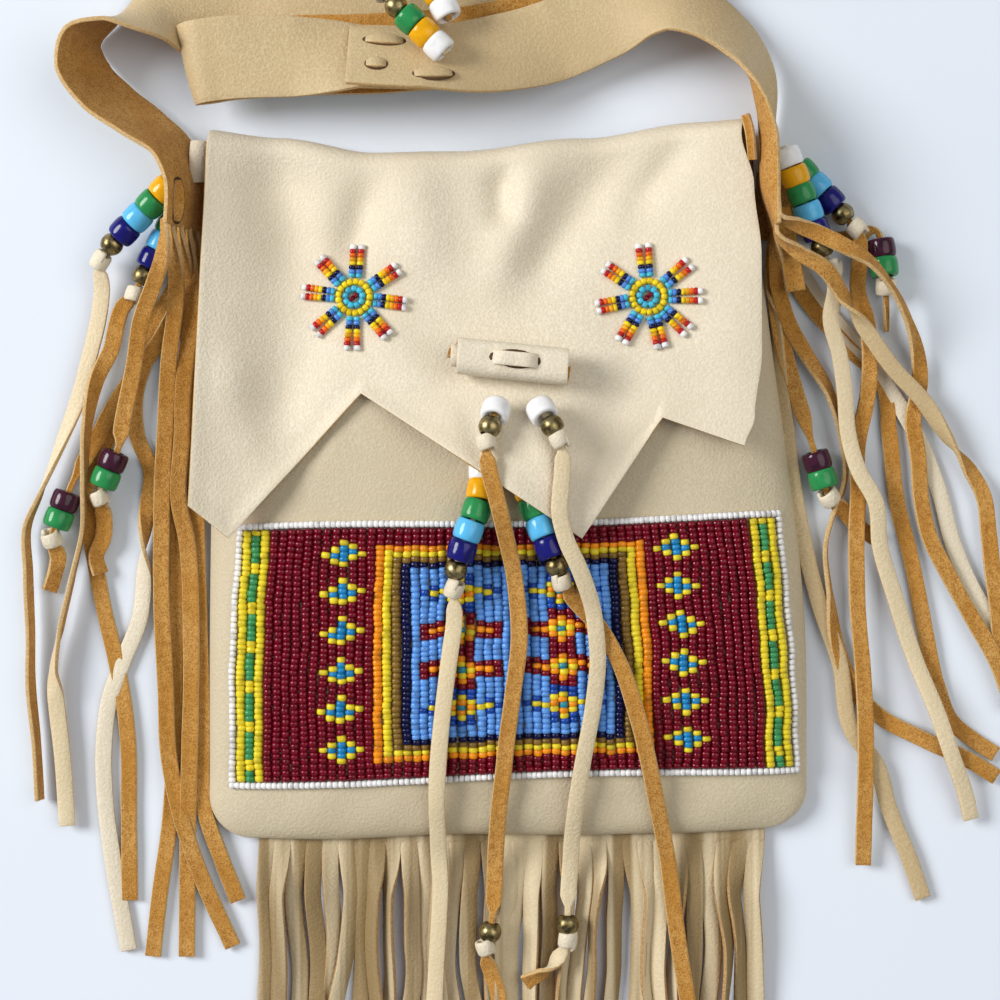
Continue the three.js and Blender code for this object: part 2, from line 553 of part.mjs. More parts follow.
const TAILS_RIGHT = [
  [[74.6, 77, 18, 180], [78.4, 74.6, 18.4, 180], [84, 71.2, 18.2, 180], [91, 68, 17.6, 150],
    [98.6, 64.2, 15.4, 120], [105.4, 57, 11, 110], [110.6, 48.2, 7, 120], [113.6, 40, 4.4, 150],
    [114.3, 31.5, 3.2, 180], [112.5, 22.2, 3.2, 180], [113.9, 11.8, 3.2, 180], [114.7, 0, 3.2, 180],
    [116.6, -8.8, 3.2, 180], [121.8, -19.7, 3.2, 180], [127.6, -30.4, 3.2, 180], [135.5, -44.6, 3.4, 180],
    [140, -57, 3.2, 180]],
  [[74.2, 75, 16, 180], [79.2, 69.5, 15, 180], [86.8, 62.1, 13.8, 180], [92.3, 55, 10.5, 150],
    [98.6, 46.5, 8, 20], [106.3, 36.1, 6.5, 0], [114.7, 27.1, 5.4, 0], [121.8, 16.7, 4, 60],
    [127.9, 8.2, 3.4, 150], [131.7, 1.4, 3.2, 180], [133.1, -8.8, 3.2, 180], [134.4, -21.3, 3.2, 180],
    [135.5, -28.7, 3.2, 180], [136.5, -45, 3, 180]],
  [[72.8, 75, 8, 180], [73.4, 68, 6, 180], [74.4, 60.4, 4, 180], [76.8, 43.2, 3.2, 180],
    [80.5, 29.3, 3.6, 180], [84.4, 15.8, 5.6, 180, 'neck'], [86.6, 8.2, 6.2, 180, 'pair'],
    [89.8, 0.3, 5, 180, 'knot'], [93.4, -2.6, 3, 180], [97.5, -7.1, 2.2, 180], [103, -10.9, 2, 180]],
  [[73.3, 75, 11, 180], [74.6, 67, 8.5, 180], [75.4, 58, 6, 180], [78.2, 48.7, 4.2, 180],
    [83.3, 39.7, 3.2, 150], [89.6, 29.3, 3.2, 120], [92.8, 18.9, 3, 110], [93.7, 4.6, 2.8, 100],
    [91.2, -2.7, 2.8, 90], [88.8, -11.2, 2.8, 90], [89.8, -25.4, 2.8, 100], [92, -40.5, 2.4, 150],
    [97.5, -53.1, 1.4, 180], [103.2, -58.8, 1.4, 180], [115.8, -65.6, 3.2, 180], [128.4, -71.4, 3.2, 180],
    [135.5, -75.8, 2.4, 180]],
  [[72.5, 75, 6, 180], [73.2, 67, 4, 150], [74.9, 50, 2.6, 60], [78.4, 16.4, 2.4, 20], [80.6, -0.3, 2.2, 0],
    [84, -17, 2.2, 0], [87.4, -29.5, 2.2, 0], [92.6, -44.6, 2.2, 0], [95.9, -63.2, 2.8, 0],
    [102.4, -72.2, 2.8, 0], [106, -84, 2, 0], [111.7, -98.2, 1.8, 0], [115.5, -109.1, 1.4, 0]],
];

// Side fringes: a narrow header under each strap end, cut into strips that lie on the table
const SIDE_HEADER_WIDTH = 9;
const SIDE_HEADER_SPAN = [90, 71];
const SIDE_HEADER_Z = 0.65;
const SIDE_HEADER_X = [-83.4, 74.6];
const SIDE_FRINGE_LEFT = [
  [[-85, 76, 0.7, 180], [-87, 66, 0.7, 180], [-97, 46.5, 0.7, 180], [-106.5, 21.9, 0.7, 180],
    [-112, 8.2, 0.7, 180], [-113.9, -2.7, 0.7, 180], [-111.7, -20, 0.7, 180], [-109, -33.4, 0.7, 180],
    [-106.8, -42.7, 0.7, 180], [-104.3, -56.1, 0.7, 180], [-103, -69.7, 0.7, 180], [-103, -83.4, 0.7, 180],
    [-102.7, -109.7, 0.7, 180]],
  [[-84, 76, 0.9, 180], [-86, 66, 0.9, 180], [-97, 41.8, 0.9, 180], [-101.3, 27.4, 0.9, 180],
    [-100.8, 17.8, 0.9, 180], [-97, 7.9, 0.9, 180], [-98, -2.7, 1.3, 170], [-98.6, -12.3, 3.2, 90],
    [-98.8, -21.6, 1.3, 10], [-100, -32.5, 0.9, 0], [-104.3, -43.5, 0.9, 0], [-108.2, -54.4, 0.9, 0],
    [-109.8, -67, 0.9, 0], [-109.5, -81.5, 0.9, 0], [-107.6, -97, 0.9, 0], [-103, -123.4, 0.9, 0]],
  [[-82.5, 76, 0.78, 180], [-83, 66, 0.78, 180], [-88.2, 27.4, 0.78, 180], [-89.8, -27.4, 0.78, 180],
    [-90.4, -54.7, 0.78, 180], [-90.9, -76, 0.78, 180], [-92.3, -92.4, 0.78, 180], [-94.5, -107.8, 0.78, 180],
    [-96.4, -125, 0.78, 180]],
];
const SIDE_FRINGE_RIGHT = [
  [[75, 78, 0.7, 180], [77, 69, 0.7, 180], [82, 57.4, 0.7, 180], [94.5, 42.4, 0.7, 180],
    [104.3, 32.5, 0.7, 180], [106.3, 18.9, 0.7, 180], [108.4, -0.3, 0.7, 180], [112.5, -17, 0.7, 180],
    [115.8, -33.9, 0.7, 180], [119.4, -50.6, 0.7, 180], [123.5, -60.7, 0.7, 180], [129.2, -65.6, 0.7, 180],
    [135.5, -69.7, 0.7, 180]],
  [[76, 80, 0.9, 0], [79, 69, 0.9, 0], [86, 56, 0.9, 0], [99, 40, 0.9, 0], [112, 21, 0.9, 0],
    [120.2, 1.4, 0.9, 0], [123.5, -11.2, 0.9, 0], [128.4, -23, 0.9, 0], [135.5, -35.6, 0.9, 0],
    [140, -47, 0.9, 0]],
  [[76, 82, 0.78, 180], [81, 76, 0.78, 180], [87, 72, 0.78, 180], [95, 71.5, 0.78, 180],
    [102.4, 73.6, 3, 180, 'neck'], [104, 66, 4.3, 180, 'pair'], [105, 57.4, 4, 180, 'knot'],
    [105.2, 53, 2.6, 120, 'neck'], [105.2, 46, 2.4, 90, 'neck']],
];

// Lace, tied through the hide and strung with beads
const FLAP_LACE_LEFT = [
  [-1.3, 27.8, 21.6, 180, 'hole'], [-2.2, 23.8, 25.1, 180, 'white'], [-3, 21.4, 26.6, 180, 'neck'],
  [-3.8, 19.3, 27.6, 180, 'bronze'], [-4.8, 13.6, 27.4, 180, 'knot'], [-4, 7.5, 27.6, 180],
  [-2.4, 1.5, 27.4, 180], [-1, -4, 26.4, 180], [0.6, -10.8, 23, 180], [2.2, -18, 19.6, 180],
  [3.1, -24.3, 18, 180], [3.9, -37.8, 17.4, 180], [2.3, -51.3, 16.8, 180], [0, -70.2, 14.8, 180],
  [-1.6, -84.8, 11.6, 180], [-2.2, -92, 8.6, 180], [-2.5, -99, 6.4, 180], [-2.7, -106.5, 6.2, 180],
  [-3.2, -112.5, 7, 180, 'neck'], [-3.9, -117, 7.8, 180, 'bronze'], [-5.2, -122.7, 7.4, 180, 'knot'],
  [-3.6, -128.4, 5.4, 180], [-1.8, -134, 4.8, 180], [-1.2, -143, 4.4, 180],
];
const FLAP_LACE_RIGHT = [
  [7.8, 27.6, 21.4, 0, 'hole'], [9.6, 23.8, 24.9, 0, 'white'], [11.2, 21.4, 26.4, 0, 'neck'],
  [12.5, 19.4, 27.4, 0, 'bronze'], [14.9, 14.3, 27.2, 0, 'knot'], [15.2, 8, 26.8, 0], [14.6, 1.5, 26.6, 0],
  [14.4, -3.5, 26.4, 0], [15.4, -8, 25.8, 0], [16.8, -12, 25.2, 0], [19, -16.5, 24.4, 0],
  [21.6, -23, 22.4, 0], [23.4, -29, 20.2, 0], [24.3, -35, 19.4, 0], [24.8, -42, 18.4, 0],
  [23.8, -54, 16.6, 0], [21, -70.2, 14.8, 0], [18.9, -84.8, 11.6, 0], [18.2, -92, 8.6, 0],
  [17.9, -99, 6.4, 0], [17.4, -106, 6.2, 0], [17.2, -110.5, 7, 0, 'neck'], [17.1, -115, 7.8, 0, 'bronze'],
  [16.6, -120.8, 7.4, 0, 'knot'], [13.7, -125.4, 6.6, 60], [10.2, -128.6, 6, 150], [5.4, -131.4, 5, 180],
];
const POUCH_LACE_LEFT = [
  [-6, 10, 18, 0, 'hole'], [-6.1, 5.2, 18.8, 0, 'white'], [-6.6, -0.3, 19.6, 0, 'yellow'],
  [-8, -5.7, 20.8, 0, 'green'], [-9.7, -11, 21.2, 0, 'light_blue'], [-11.4, -16.3, 21.2, 0, 'dark_blue'],
  [-12.8, -21.4, 20.8, 0, 'bronze'], [-13.4, -27.1, 19.6, 0, 'knot'], [-13.4, -32.5, 17.8, 0],
  [-14.4, -40, 17.2, 0], [-15.5, -48.6, 17.2, 0], [-17.7, -70.2, 15.4, 0], [-18.2, -82.6, 12.8, 0],
  [-18, -90, 9.4, 0], [-17.8, -97, 6.6, 0], [-17.4, -104, 5.8, 0], [-17.8, -116, 5.4, 0],
  [-18.6, -128, 5.2, 0], [-19.2, -140, 5, 0], [-19.6, -152, 4.8, 0],
];
const POUCH_LACE_RIGHT = [
  [5.2, 8, 18, 180, 'hole'], [6.2, 3, 18.8, 180, 'yellow'], [7.9, -2.2, 19.6, 180, 'green'],
  [9.8, -7.4, 20.8, 180, 'light_blue'], [11.9, -12.6, 21.2, 180, 'dark_blue'],
  [13.8, -17.5, 20.9, 180, 'bronze'], [15.9, -22.8, 19.6, 180, 'knot'], [19.2, -27.4, 17.8, 180],
  [24.5, -33, 17.4, 180], [30, -42, 16.8, 180], [35.2, -56.7, 16.4, 180], [39.2, -72.9, 14.4, 180],
  [41.5, -84, 11, 180], [43, -91, 8.6, 180], [44.4, -98, 6.4, 180], [45.4, -105.3, 5.8, 180],
  [47.9, -124.2, 5.2, 180], [50, -137, 5, 180], [51.5, -150, 4.8, 180],
];
const SIDE_LACE_LEFT_UPPER = [
  [-90, 85.4, 11.8, 0, 'hole'], [-99.1, 76.4, 9.6, 0, 'stack'], [-108.2, 67.4, 7.4, 0, 'neck'],
  [-109.8, 64.4, 6.8, 0, 'knot'],
  [-109.6, 57.6, 5, 0], [-110.4, 50.9, 4.8, 0], [-113.4, 37.7, 5, 0], [-116.1, 27.6, 5, 0],
  [-121.3, 14.5, 5, 40], [-127, 0.5, 5, 80], [-130, -6.5, 4.6, 90], [-130, -20, 4.2, 90],
  [-129.4, -38, 4, 90], [-129.4, -51.7, 3.8, 90], [-128, -65.1, 3.6, 90], [-127, -82, 3.4, 90],
];
const SIDE_LACE_LEFT_LOWER = [
  [-89.6, 77.2, 5.6, 180, 'hole'], [-94.6, 67.85, 5.5, 180, 'stack'], [-99.6, 58.5, 5.4, 180, 'neck'],
  [-101.2, 55.4, 5.4, 180, 'knot'],
  [-103.9, 52.6, 5.6, 180], [-105.6, 47.4, 6, 180], [-106.8, 41.5, 6.2, 180], [-110.6, 33.6, 6.4, 150],
  [-113.4, 21, 6.8, 110], [-114.4, 5, 6.6, 95], [-115, -8, 5, 90], [-117.6, -20, 4.6, 90],
  [-121, -35, 4.6, 90], [-123, -47, 4.4, 60], [-122.5, -54, 3.6, 0], [-121, -68, 3.2, 0],
  [-119.5, -89, 2.8, 0],
];
const SIDE_LACE_RIGHT_UPPER = [
  [77.7, 95.1, 13, 0, 'hole'], [83.8, 80.1, 11.6, 0, 'stack'], [89.9, 65.1, 10.2, 0, 'neck'],
  [91.5, 62.2, 8.8, 0, 'knot'],
  [90.6, 57.6, 8.2, 0], [89.4, 49.4, 7, 0], [91.9, 39.2, 6.6, 0], [93.3, 28.9, 6.6, 0], [94.1, 18.6, 6.6, 0],
  [97, 8.1, 7, 0], [101.6, -0.3, 6.6, 0], [103.2, -12.9, 5, 0], [107.6, -27.1, 4, 0], [112.5, -42.1, 3.4, 0],
  [118.3, -57.2, 5.4, 0], [122.7, -69.7, 5.6, 0], [126.8, -80.7, 4, 0], [128.4, -87.2, 3, 0],
];
const SIDE_LACE_RIGHT_LOWER = [
  [82.2, 91.3, 4.6, 180, 'hole'], [89.45, 83.5, 5, 180, 'stack'], [96.7, 75.7, 5.4, 180, 'neck'],
  [98.6, 73.1, 6.2, 180, 'knot'],
  [97.6, 67.4, 5.4, 180], [97.3, 56.4, 4.6, 180], [99.5, 49.4, 4.4, 180], [100.6, 39.2, 4.4, 180],
  [100, 29.3, 4.4, 180], [97.2, 15.3, 4.4, 180], [97.2, 0, 4.6, 180], [96.9, -8.8, 4.6, 180],
  [97, -25.4, 4.4, 180], [98.9, -50.6, 4.6, 180], [99.4, -67.3, 4.6, 180], [99.1, -84, 4.2, 180],
  [98.9, -99.8, 2.6, 180],
];
const SPLICE_LACE_LOWER = [
  [-14.4, 118.5, 19.6, 0, 'hole'], [-22.2, 125.85, 19.6, 0, 'stack'], [-30, 133.2, 19.6, 0, 'neck'],
  [-32.4, 135.5, 19.2, 0, 'knot'], [-35.4, 139.6, 17, 0], [-37.4, 143.6, 13, 60], [-38.6, 148.6, 8, 90],
];
const SPLICE_LACE_UPPER = [
  [-12.4, 125.2, 12.6, 0, 'hole'], [-13.6, 128, 18, 0, 'neck'], [-18.2, 137.5, 16.4, 0, 'stack'],
  [-22.8, 147, 14.8, 0, 'neck'], [-24.2, 149.9, 14.2, 0, 'knot'], [-25.6, 154.4, 12, 0],
  [-26.6, 160, 9, 40], [-27, 166, 6, 80],
];
const STACKS = {
  side_lace_left_upper: ['yellow', 'green', 'light_blue', 'dark_blue', 'bronze'],
  side_lace_left_lower: ['green', 'light_blue', 'dark_blue', 'bronze'],
  side_lace_right_upper: ['white', 'yellow', 'green', 'light_blue', 'dark_blue', 'bronze'],
  side_lace_right_lower: ['green', 'light_blue', 'dark_blue', 'bronze'],
  splice_lace_lower: ['white', 'yellow', 'green', 'bronze'],
  splice_lace_upper: ['white', 'yellow', 'green', 'bronze'],
};

function strapHalf(rows, tails) {
  return joined([ribbon(rows, STRAP_WIDTH), ...tails.map((tail) => knotted(tail, LACE_WIDTH))]);
}

function sideFringe(headerX, strips) {
  const header = SIDE_HEADER_SPAN.map((y) => [headerX, y, SIDE_HEADER_Z, 0]);
  return joined([ribbon(header, SIDE_HEADER_WIDTH), ...strips.map((strip) => knotted(strip, LACE_WIDTH))]);
}

function addStack(name, rows, kinds, parent) {
  const i = rows.findIndex((row) => row[4] === 'stack' || row[4] === 'pair');
  const finishOf = kinds.length > 2 ? BEAD_FINISH.mixed : BEAD_FINISH[kinds[0]];
  addPiece(name, standingOn(rows, i, beads(kinds)), finishOf, parent);
}

function addLace(name, rows, material, parent = bag) {
  addPiece(name, knotted(rows, LACE_WIDTH), material, parent);
  if (STACKS[name]) {
    addStack(`${name}_beads`, rows, STACKS[name], parent);
  } else {
    addBeads(rows, (kind, i) => `${name}_${kind}_${i}`);
  }
}

// The stitches that lace the strap: low bridges of lace, leaning as the strap leans there
const STITCH_LENGTH = 11;
const STITCH_RISE = 1.6;
const SPLICE_LEAN = -36;
const SPLICE_STITCHES = [[-30.6, 122.8, 15.6], [-33.6, 115.6, 21.6], [-17.8, 112.8, 22.3]];

function stitch(x, y, z) {
  const half = STITCH_LENGTH / 2;
  const bridge = [[-half, 0], [-half / 2, STITCH_RISE], [half / 2, STITCH_RISE], [half, 0]];
  return ribbon(bridge.map(([along, rise]) => [x + along, y, z + rise, SPLICE_LEAN]), STITCH_WIDTH);
}

// The side routes were drawn for these places of the pouch's sides and top
const DRAWN_LEFT_EDGE = -78.2;
const DRAWN_RIGHT_EDGE = 69.4;
const DRAWN_TOP_Y = 98;
const STRAP_SEAT_DROP = 18;
const STRAP_SEAT_Y = TOP_Y - STRAP_SEAT_DROP;

function sideGroup(side, drawnEdge) {
  const group = new THREE.Group();
  const edge = pouchCentre(STRAP_SEAT_Y) + side * pouchHalf(STRAP_SEAT_Y);
  group.position.set(edge - drawnEdge, TOP_Y - DRAWN_TOP_Y, 0);
  bag.add(group);
  return group;
}

addPiece('back_and_flap', backAndFlap(), HIDE);
addPiece('front_panel', frontPanel(), HIDE);
addPiece('bottom_fringe', bottomFringe(), HIDE);
addPiece('beadwork_panel', beadworkPanel(), BEADWORK);
addPiece('rosette_left', rosette(ROSETTE_X[0]), ROSETTE_BEADS);
addPiece('rosette_right', rosette(ROSETTE_X[1]), ROSETTE_BEADS);
const toggleMesh = addPiece('toggle', toggle(), HIDE);
addPiece('toggle_lace', toggleLace(toggleMesh), HIDE);

const leftSide = sideGroup(-1, DRAWN_LEFT_EDGE);
addPiece('strap_left', strapHalf(STRAP_LEFT, TAILS_LEFT), SUEDE, leftSide);
addPiece('side_fringe_left', sideFringe(SIDE_HEADER_X[0], SIDE_FRINGE_LEFT), SUEDE, leftSide);
addStack('tail_beads_left_1', TAILS_LEFT[0], ['purple', 'green'], leftSide);
addStack('tail_beads_left_2', TAILS_LEFT[1], ['purple', 'green'], leftSide);
addLace('side_lace_left_upper', SIDE_LACE_LEFT_UPPER, HIDE, leftSide);
addLace('side_lace_left_lower', SIDE_LACE_LEFT_LOWER, SUEDE, leftSide);

const rightSide = sideGroup(1, DRAWN_RIGHT_EDGE);
addPiece('strap_right', strapHalf(STRAP_RIGHT, TAILS_RIGHT), HIDE, rightSide);
addPiece('side_fringe_right', sideFringe(SIDE_HEADER_X[1], SIDE_FRINGE_RIGHT), SUEDE, rightSide);
addStack('tail_beads_right_1', TAILS_RIGHT[2], ['purple', 'green'], rightSide);
addStack('tail_beads_right_2', SIDE_FRINGE_RIGHT[2], ['purple', 'green'], rightSide);
addLace('side_lace_right_upper', SIDE_LACE_RIGHT_UPPER, HIDE, rightSide);
addLace('side_lace_right_lower', SIDE_LACE_RIGHT_LOWER, SUEDE, rightSide);

SPLICE_STITCHES.forEach((place, i) => {
  addPiece(`splice_stitch_${i + 1}`, stitch(...place), HIDE, rightSide);
});
addLace('splice_lace_lower', SPLICE_LACE_LOWER, HIDE, rightSide);
addLace('splice_lace_upper', SPLICE_LACE_UPPER, HIDE, rightSide);

addLace('flap_lace_left', FLAP_LACE_LEFT, SUEDE);
addLace('flap_lace_right', FLAP_LACE_RIGHT, HIDE);
addLace('pouch_lace_left', POUCH_LACE_LEFT, HIDE);
addLace('pouch_lace_right', POUCH_LACE_RIGHT, SUEDE);

export default bag;
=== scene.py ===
"""Beaded fringe shoulder bag lying on its back on a pale table. Metres, +Z up.

Shapes are worked out in millimetres, as in the part's source, and scaled once when a piece is made.
"""
import math
import random

import bmesh
import bpy
from mathutils import Matrix, Vector, noise


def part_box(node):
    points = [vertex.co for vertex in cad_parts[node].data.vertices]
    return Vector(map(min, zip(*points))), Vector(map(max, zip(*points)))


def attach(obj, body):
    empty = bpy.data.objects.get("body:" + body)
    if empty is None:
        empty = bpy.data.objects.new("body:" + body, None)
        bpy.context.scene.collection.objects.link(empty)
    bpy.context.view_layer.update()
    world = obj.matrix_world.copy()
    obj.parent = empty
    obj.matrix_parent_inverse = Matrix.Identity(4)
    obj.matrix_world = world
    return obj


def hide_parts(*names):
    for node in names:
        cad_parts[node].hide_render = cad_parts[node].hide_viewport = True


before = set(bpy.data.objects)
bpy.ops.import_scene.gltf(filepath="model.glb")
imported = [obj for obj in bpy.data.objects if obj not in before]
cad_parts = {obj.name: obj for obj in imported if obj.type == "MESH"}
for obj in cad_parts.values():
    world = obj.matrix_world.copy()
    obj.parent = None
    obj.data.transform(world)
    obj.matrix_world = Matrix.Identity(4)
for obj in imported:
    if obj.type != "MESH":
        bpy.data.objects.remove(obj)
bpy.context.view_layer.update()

MM = 0.001
LEATHER = 1.2
LACE_WIDTH = 4.4
LACE_NECK = 1.6
LOWEST = 1.15
EDGE_ROUNDING = 0.28
STRAP_WIDTH = 22
STITCH_WIDTH = 3.4
PONY_RADIUS = 3.9
PONY_LENGTH = 5.2
BRONZE_RADIUS = 3.1
BORE_RADIUS = 1.9
BEAD_SEGMENTS = 18
BEAD_STEPS = 24
TOP_Y = 98
MOUTH_Y = 84
BOTTOM_Y = -91
FOLD_Y = 93
CORNER = 11
LEFT_SHIFT = Vector((0.12, 0, 0))
RIGHT_SHIFT = Vector((-0.91, 0, 0))
NO_SHIFT = Vector((0, 0, 0))


class Wire:
    """An output of a material's nodes. Sums and products of wires add Math nodes."""

    def __init__(self, tree, socket):
        self.tree = tree
        self.socket = socket

    def node(self, kind, settings, inputs, out=0):
        made = self.tree.nodes.new(kind)
        for key, value in settings.items():
            setattr(made, key, value)
        for key, value in inputs.items():
            if isinstance(value, Wire):
                self.tree.links.new(value.socket, made.inputs[key])
            else:
                made.inputs[key].default_value = value
        return Wire(self.tree, made.outputs[out])

    def math(self, operation, *values):
        return self.node("ShaderNodeMath", {"operation": operation}, dict(enumerate(values)))

    def __add__(self, other):
        return self.math("ADD", self, other)

    def __sub__(self, other):
        return self.math("SUBTRACT", self, other)

    def __rsub__(self, other):
        return self.math("SUBTRACT", other, self)

    def __mul__(self, other):
        return self.math("MULTIPLY", self, other)

    __radd__ = __add__
    __rmul__ = __mul__

    def noise(self, scale, detail=2.0, roughness=0.5):
        inputs = {"Vector": self, "Scale": scale, "Detail": detail, "Roughness": roughness}
        return self.node("ShaderNodeTexNoise", {}, inputs)

    def stretch(self, scale):
        return self.node("ShaderNodeVectorMath", {"operation": "MULTIPLY"}, {0: self, 1: scale})

    def cells(self, scale):
        return self.node("ShaderNodeTexVoronoi", {"feature": "SMOOTH_F1"}, {"Vector": self, "Scale": scale})

    def between(self, low, high):
        """0 below low, 1 above high."""
        inputs = {"Value": self, "From Min": low, "From Max": high}
        return self.node("ShaderNodeMapRange", {"interpolation_type": "SMOOTHSTEP"}, inputs)

    def mix(self, start, end):
        return self.node("ShaderNodeMix", {"data_type": "RGBA"}, {0: self, 6: start, 7: end}, 2)

    def bump(self, strength, distance):
        inputs = {"Height": self, "Strength": strength, "Distance": distance}
        return self.node("ShaderNodeBump", {}, inputs)


def rgb(*parts):
    """Red, green and blue as the eye reads them, 0 to 255, in the shader's linear numbers."""
    def linear(part):
        part /= 255
        return part / 12.92 if part <= 0.04045 else ((part + 0.055) / 1.055) ** 2.4
    return (*map(linear, parts), 1.0)


def material(name, recipe, **constants):
    """A material whose recipe takes object coordinates and returns what feeds each shader input."""
    made = bpy.data.materials.new(name)
    made.use_nodes = True
    shader = made.node_tree.nodes["Principled BSDF"]
    for key, value in constants.items():
        shader.inputs[key.replace("_", " ")].default_value = value
    place = Wire(made.node_tree, made.node_tree.nodes.new("ShaderNodeTexCoord").outputs["Object"])
    for key, wire in recipe(place).items():
        made.node_tree.links.new(wire.socket, shader.inputs[key])
    return made


def hide_look(shade, pale, pores_dark, pores_pale=None, cloud=(20, 20, 20), spread=(0.3, 0.7)):
    """Smooth side of the hide: pores, slack wrinkles and slow clouds of colour; on the bottom fringe the
    clouds are stretched into strip-wide bands of painted shade.
    """
    def look(place):
        clouds = place.stretch(cloud).noise(1, 3).between(*spread)
        pores = clouds.mix(pores_dark, pores_pale) if pores_pale else pores_dark
        slack = place.noise(480, 4, 0.6)
        grain = place.cells(1500) * 0.6 + place.noise(2600, 2, 0.6) * 0.4
        return {
            "Base Color": grain.between(0.2, 0.75).mix(pores, clouds.mix(shade, pale)),
            "Roughness": 0.46 + slack * 0.2,
            "Normal": (grain * 1.2 + slack * 0.3).bump(0.4, 0.0005),
        }
    return look


def suede_look(place):
    nap = place.noise(2300, 3, 0.7)
    clouds = place.noise(70, 3).between(0.3, 0.7)
    tufts = place.noise(620, 2, 0.6)
    brown = clouds.mix(rgb(201, 147, 70), rgb(218, 170, 98))
    return {
        "Base Color": (nap * 0.75 + tufts * 0.25).between(0.36, 0.6).mix(rgb(168, 112, 46), brown),
        "Normal": (nap + tufts * 0.6).bump(0.7, 0.0006),
    }


def edge_look(dark, pale):
    """Cut edge of the hide: loose fibres."""
    def look(place):
        fibres = place.noise(1900, 3, 0.7)
        return {"Base Color": fibres.between(0.3, 0.7).mix(dark, pale), "Normal": fibres.bump(0.5, 0.0005)}
    return look


def glass_look(colour, shade=0.62):
    deep = tuple(part * shade for part in colour[:3]) + (1.0,)

    def look(place):
        streaks = place.noise(420, 2)
        return {
            "Base Color": streaks.between(0.25, 0.6).mix(deep, colour),
            "Roughness": 0.1 + place.noise(900, 1) * 0.12,
            "Normal": place.noise(600, 1).bump(0.1, 0.0004),
        }
    return look


def bronze_look(place):
    tarnish = place.noise(520, 3, 0.6)
    return {
        "Base Color": tarnish.between(0.35, 0.65).mix(rgb(96, 84, 54), rgb(172, 156, 112)),
        "Roughness": 0.22 + tarnish * 0.25,
        "Normal": tarnish.bump(0.08, 0.0003),
    }


def glass(name, colour, shade=0.62):
    return material(name, glass_look(colour, shade), Specular_IOR_Level=0.34, IOR=1.5)


def smooth_hide(name, *colours, **clouds):
    return material(name, hide_look(*colours, **clouds), Specular_IOR_Level=0.4)


HIDE = smooth_hide("hide", rgb(224, 213, 191), rgb(234, 226, 208), rgb(219, 207, 183))
FRONT_HIDE = smooth_hide("front_hide", rgb(204, 191, 164), rgb(211, 200, 175), rgb(199, 185, 156))
STRAP_HIDE = smooth_hide("strap_hide", rgb(197, 174, 133), rgb(210, 190, 151), rgb(192, 168, 126))
LACE_HIDE = smooth_hide("lace_hide", rgb(219, 202, 168), rgb(230, 215, 184), rgb(213, 195, 159))
# Painted shade: the strips of the bottom fringe differ in tone from one to the next, the darker ones
# standing for strips turned away from the light
FRINGE_HIDE_PAINTED_SHADE = smooth_hide("fringe_hide_painted_shade", rgb(150, 127, 87), rgb(216, 200, 167), rgb(142, 119, 80),
                          rgb(209, 192, 158), cloud=(150, 5, 0), spread=(0.4, 0.6))
SUEDE = material("suede", suede_look, Roughness=0.95, Specular_IOR_Level=0.1, Sheen_Weight=0.1)
CUT_EDGE = material("cut_edge", edge_look(rgb(188, 150, 98), rgb(218, 190, 142)), Roughness=0.9,
                    Specular_IOR_Level=0.15)
FRINGE_EDGE = material("fringe_edge", edge_look(rgb(158, 122, 78), rgb(198, 164, 118)), Roughness=0.9,
                       Specular_IOR_Level=0.15)
# Painted shadow: the dark brown of the gap round a stitch, where the lace goes into the strap
SLIT_SHADOW = material("slit", lambda place: {"Base Color": place.noise(900).mix(rgb(58, 38, 20), rgb(96, 66, 36))},
                Roughness=0.9)


def sides(smooth_side, edge=CUT_EDGE):
    """Materials of a hide: smooth side, suede side, cut edge."""
    return [smooth_side, SUEDE, edge]


PONY = {
    "white": glass("white_pony", rgb(240, 241, 244), 0.9),
    "yellow": glass("yellow_pony", rgb(238, 172, 12), 0.85),
    "green": glass("green_pony", rgb(44, 142, 80), 0.8),
    "light_blue": glass("light_blue_pony", rgb(92, 186, 238), 0.88),
    "dark_blue": glass("dark_blue_pony", rgb(22, 22, 112), 0.7),
    "purple": glass("purple_pony", rgb(64, 24, 46), 0.5),
    "bronze": material("bronze", bronze_look, Metallic=1.0),
}
SEED_COLOURS = {
    "white": rgb(240, 240, 242), "yellow": rgb(234, 212, 44), "green": rgb(62, 148, 92),
    "burgundy": rgb(116, 3, 28), "orange": rgb(244, 148, 22), "gold": rgb(134, 102, 44),
    "navy": rgb(12, 14, 66), "sky": rgb(98, 156, 232), "blue": rgb(24, 72, 168),
    "petal": rgb(30, 134, 196), "teal": rgb(44, 138, 158), "turquoise": rgb(72, 190, 224),
    "red": rgb(186, 26, 30), "amber": rgb(248, 178, 20), "lemon": rgb(248, 216, 26),
    "rust": rgb(240, 108, 26), "medium": rgb(84, 140, 224),
}
SEED = {name: glass(name + "_seed", colour) for name, colour in SEED_COLOURS.items()}


# The form of the pouch and the flap
def smoothstep(value, low, high):
    t = min(1, max(0, (value - low) / (high - low)))
    return t * t * (3 - 2 * t)


def mix(a, b, t):
    return a + (b - a) * t


def chain(value, points):
    """A smooth line through (place, height) pairs."""
    for (x0, y0), (x1, y1) in zip(points, points[1:]):
        if value <= x1:
            return mix(y0, y1, smoothstep(value, x0, x1))
    return points[-1][1]


def pouch_half(y):
    foot = y - BOTTOM_Y
    half = mix(81, 73, smoothstep(y, -50, TOP_Y))
    if foot < CORNER:
        half -= CORNER - math.sqrt(max(0, CORNER**2 - (CORNER - foot) ** 2))
    return half


def pouch_centre(y):
    return 1 - 6 * smoothstep(y, -50, TOP_Y)


def across(x, y):
    return min(1, max(-1, (x - pouch_centre(y)) / pouch_half(y)))


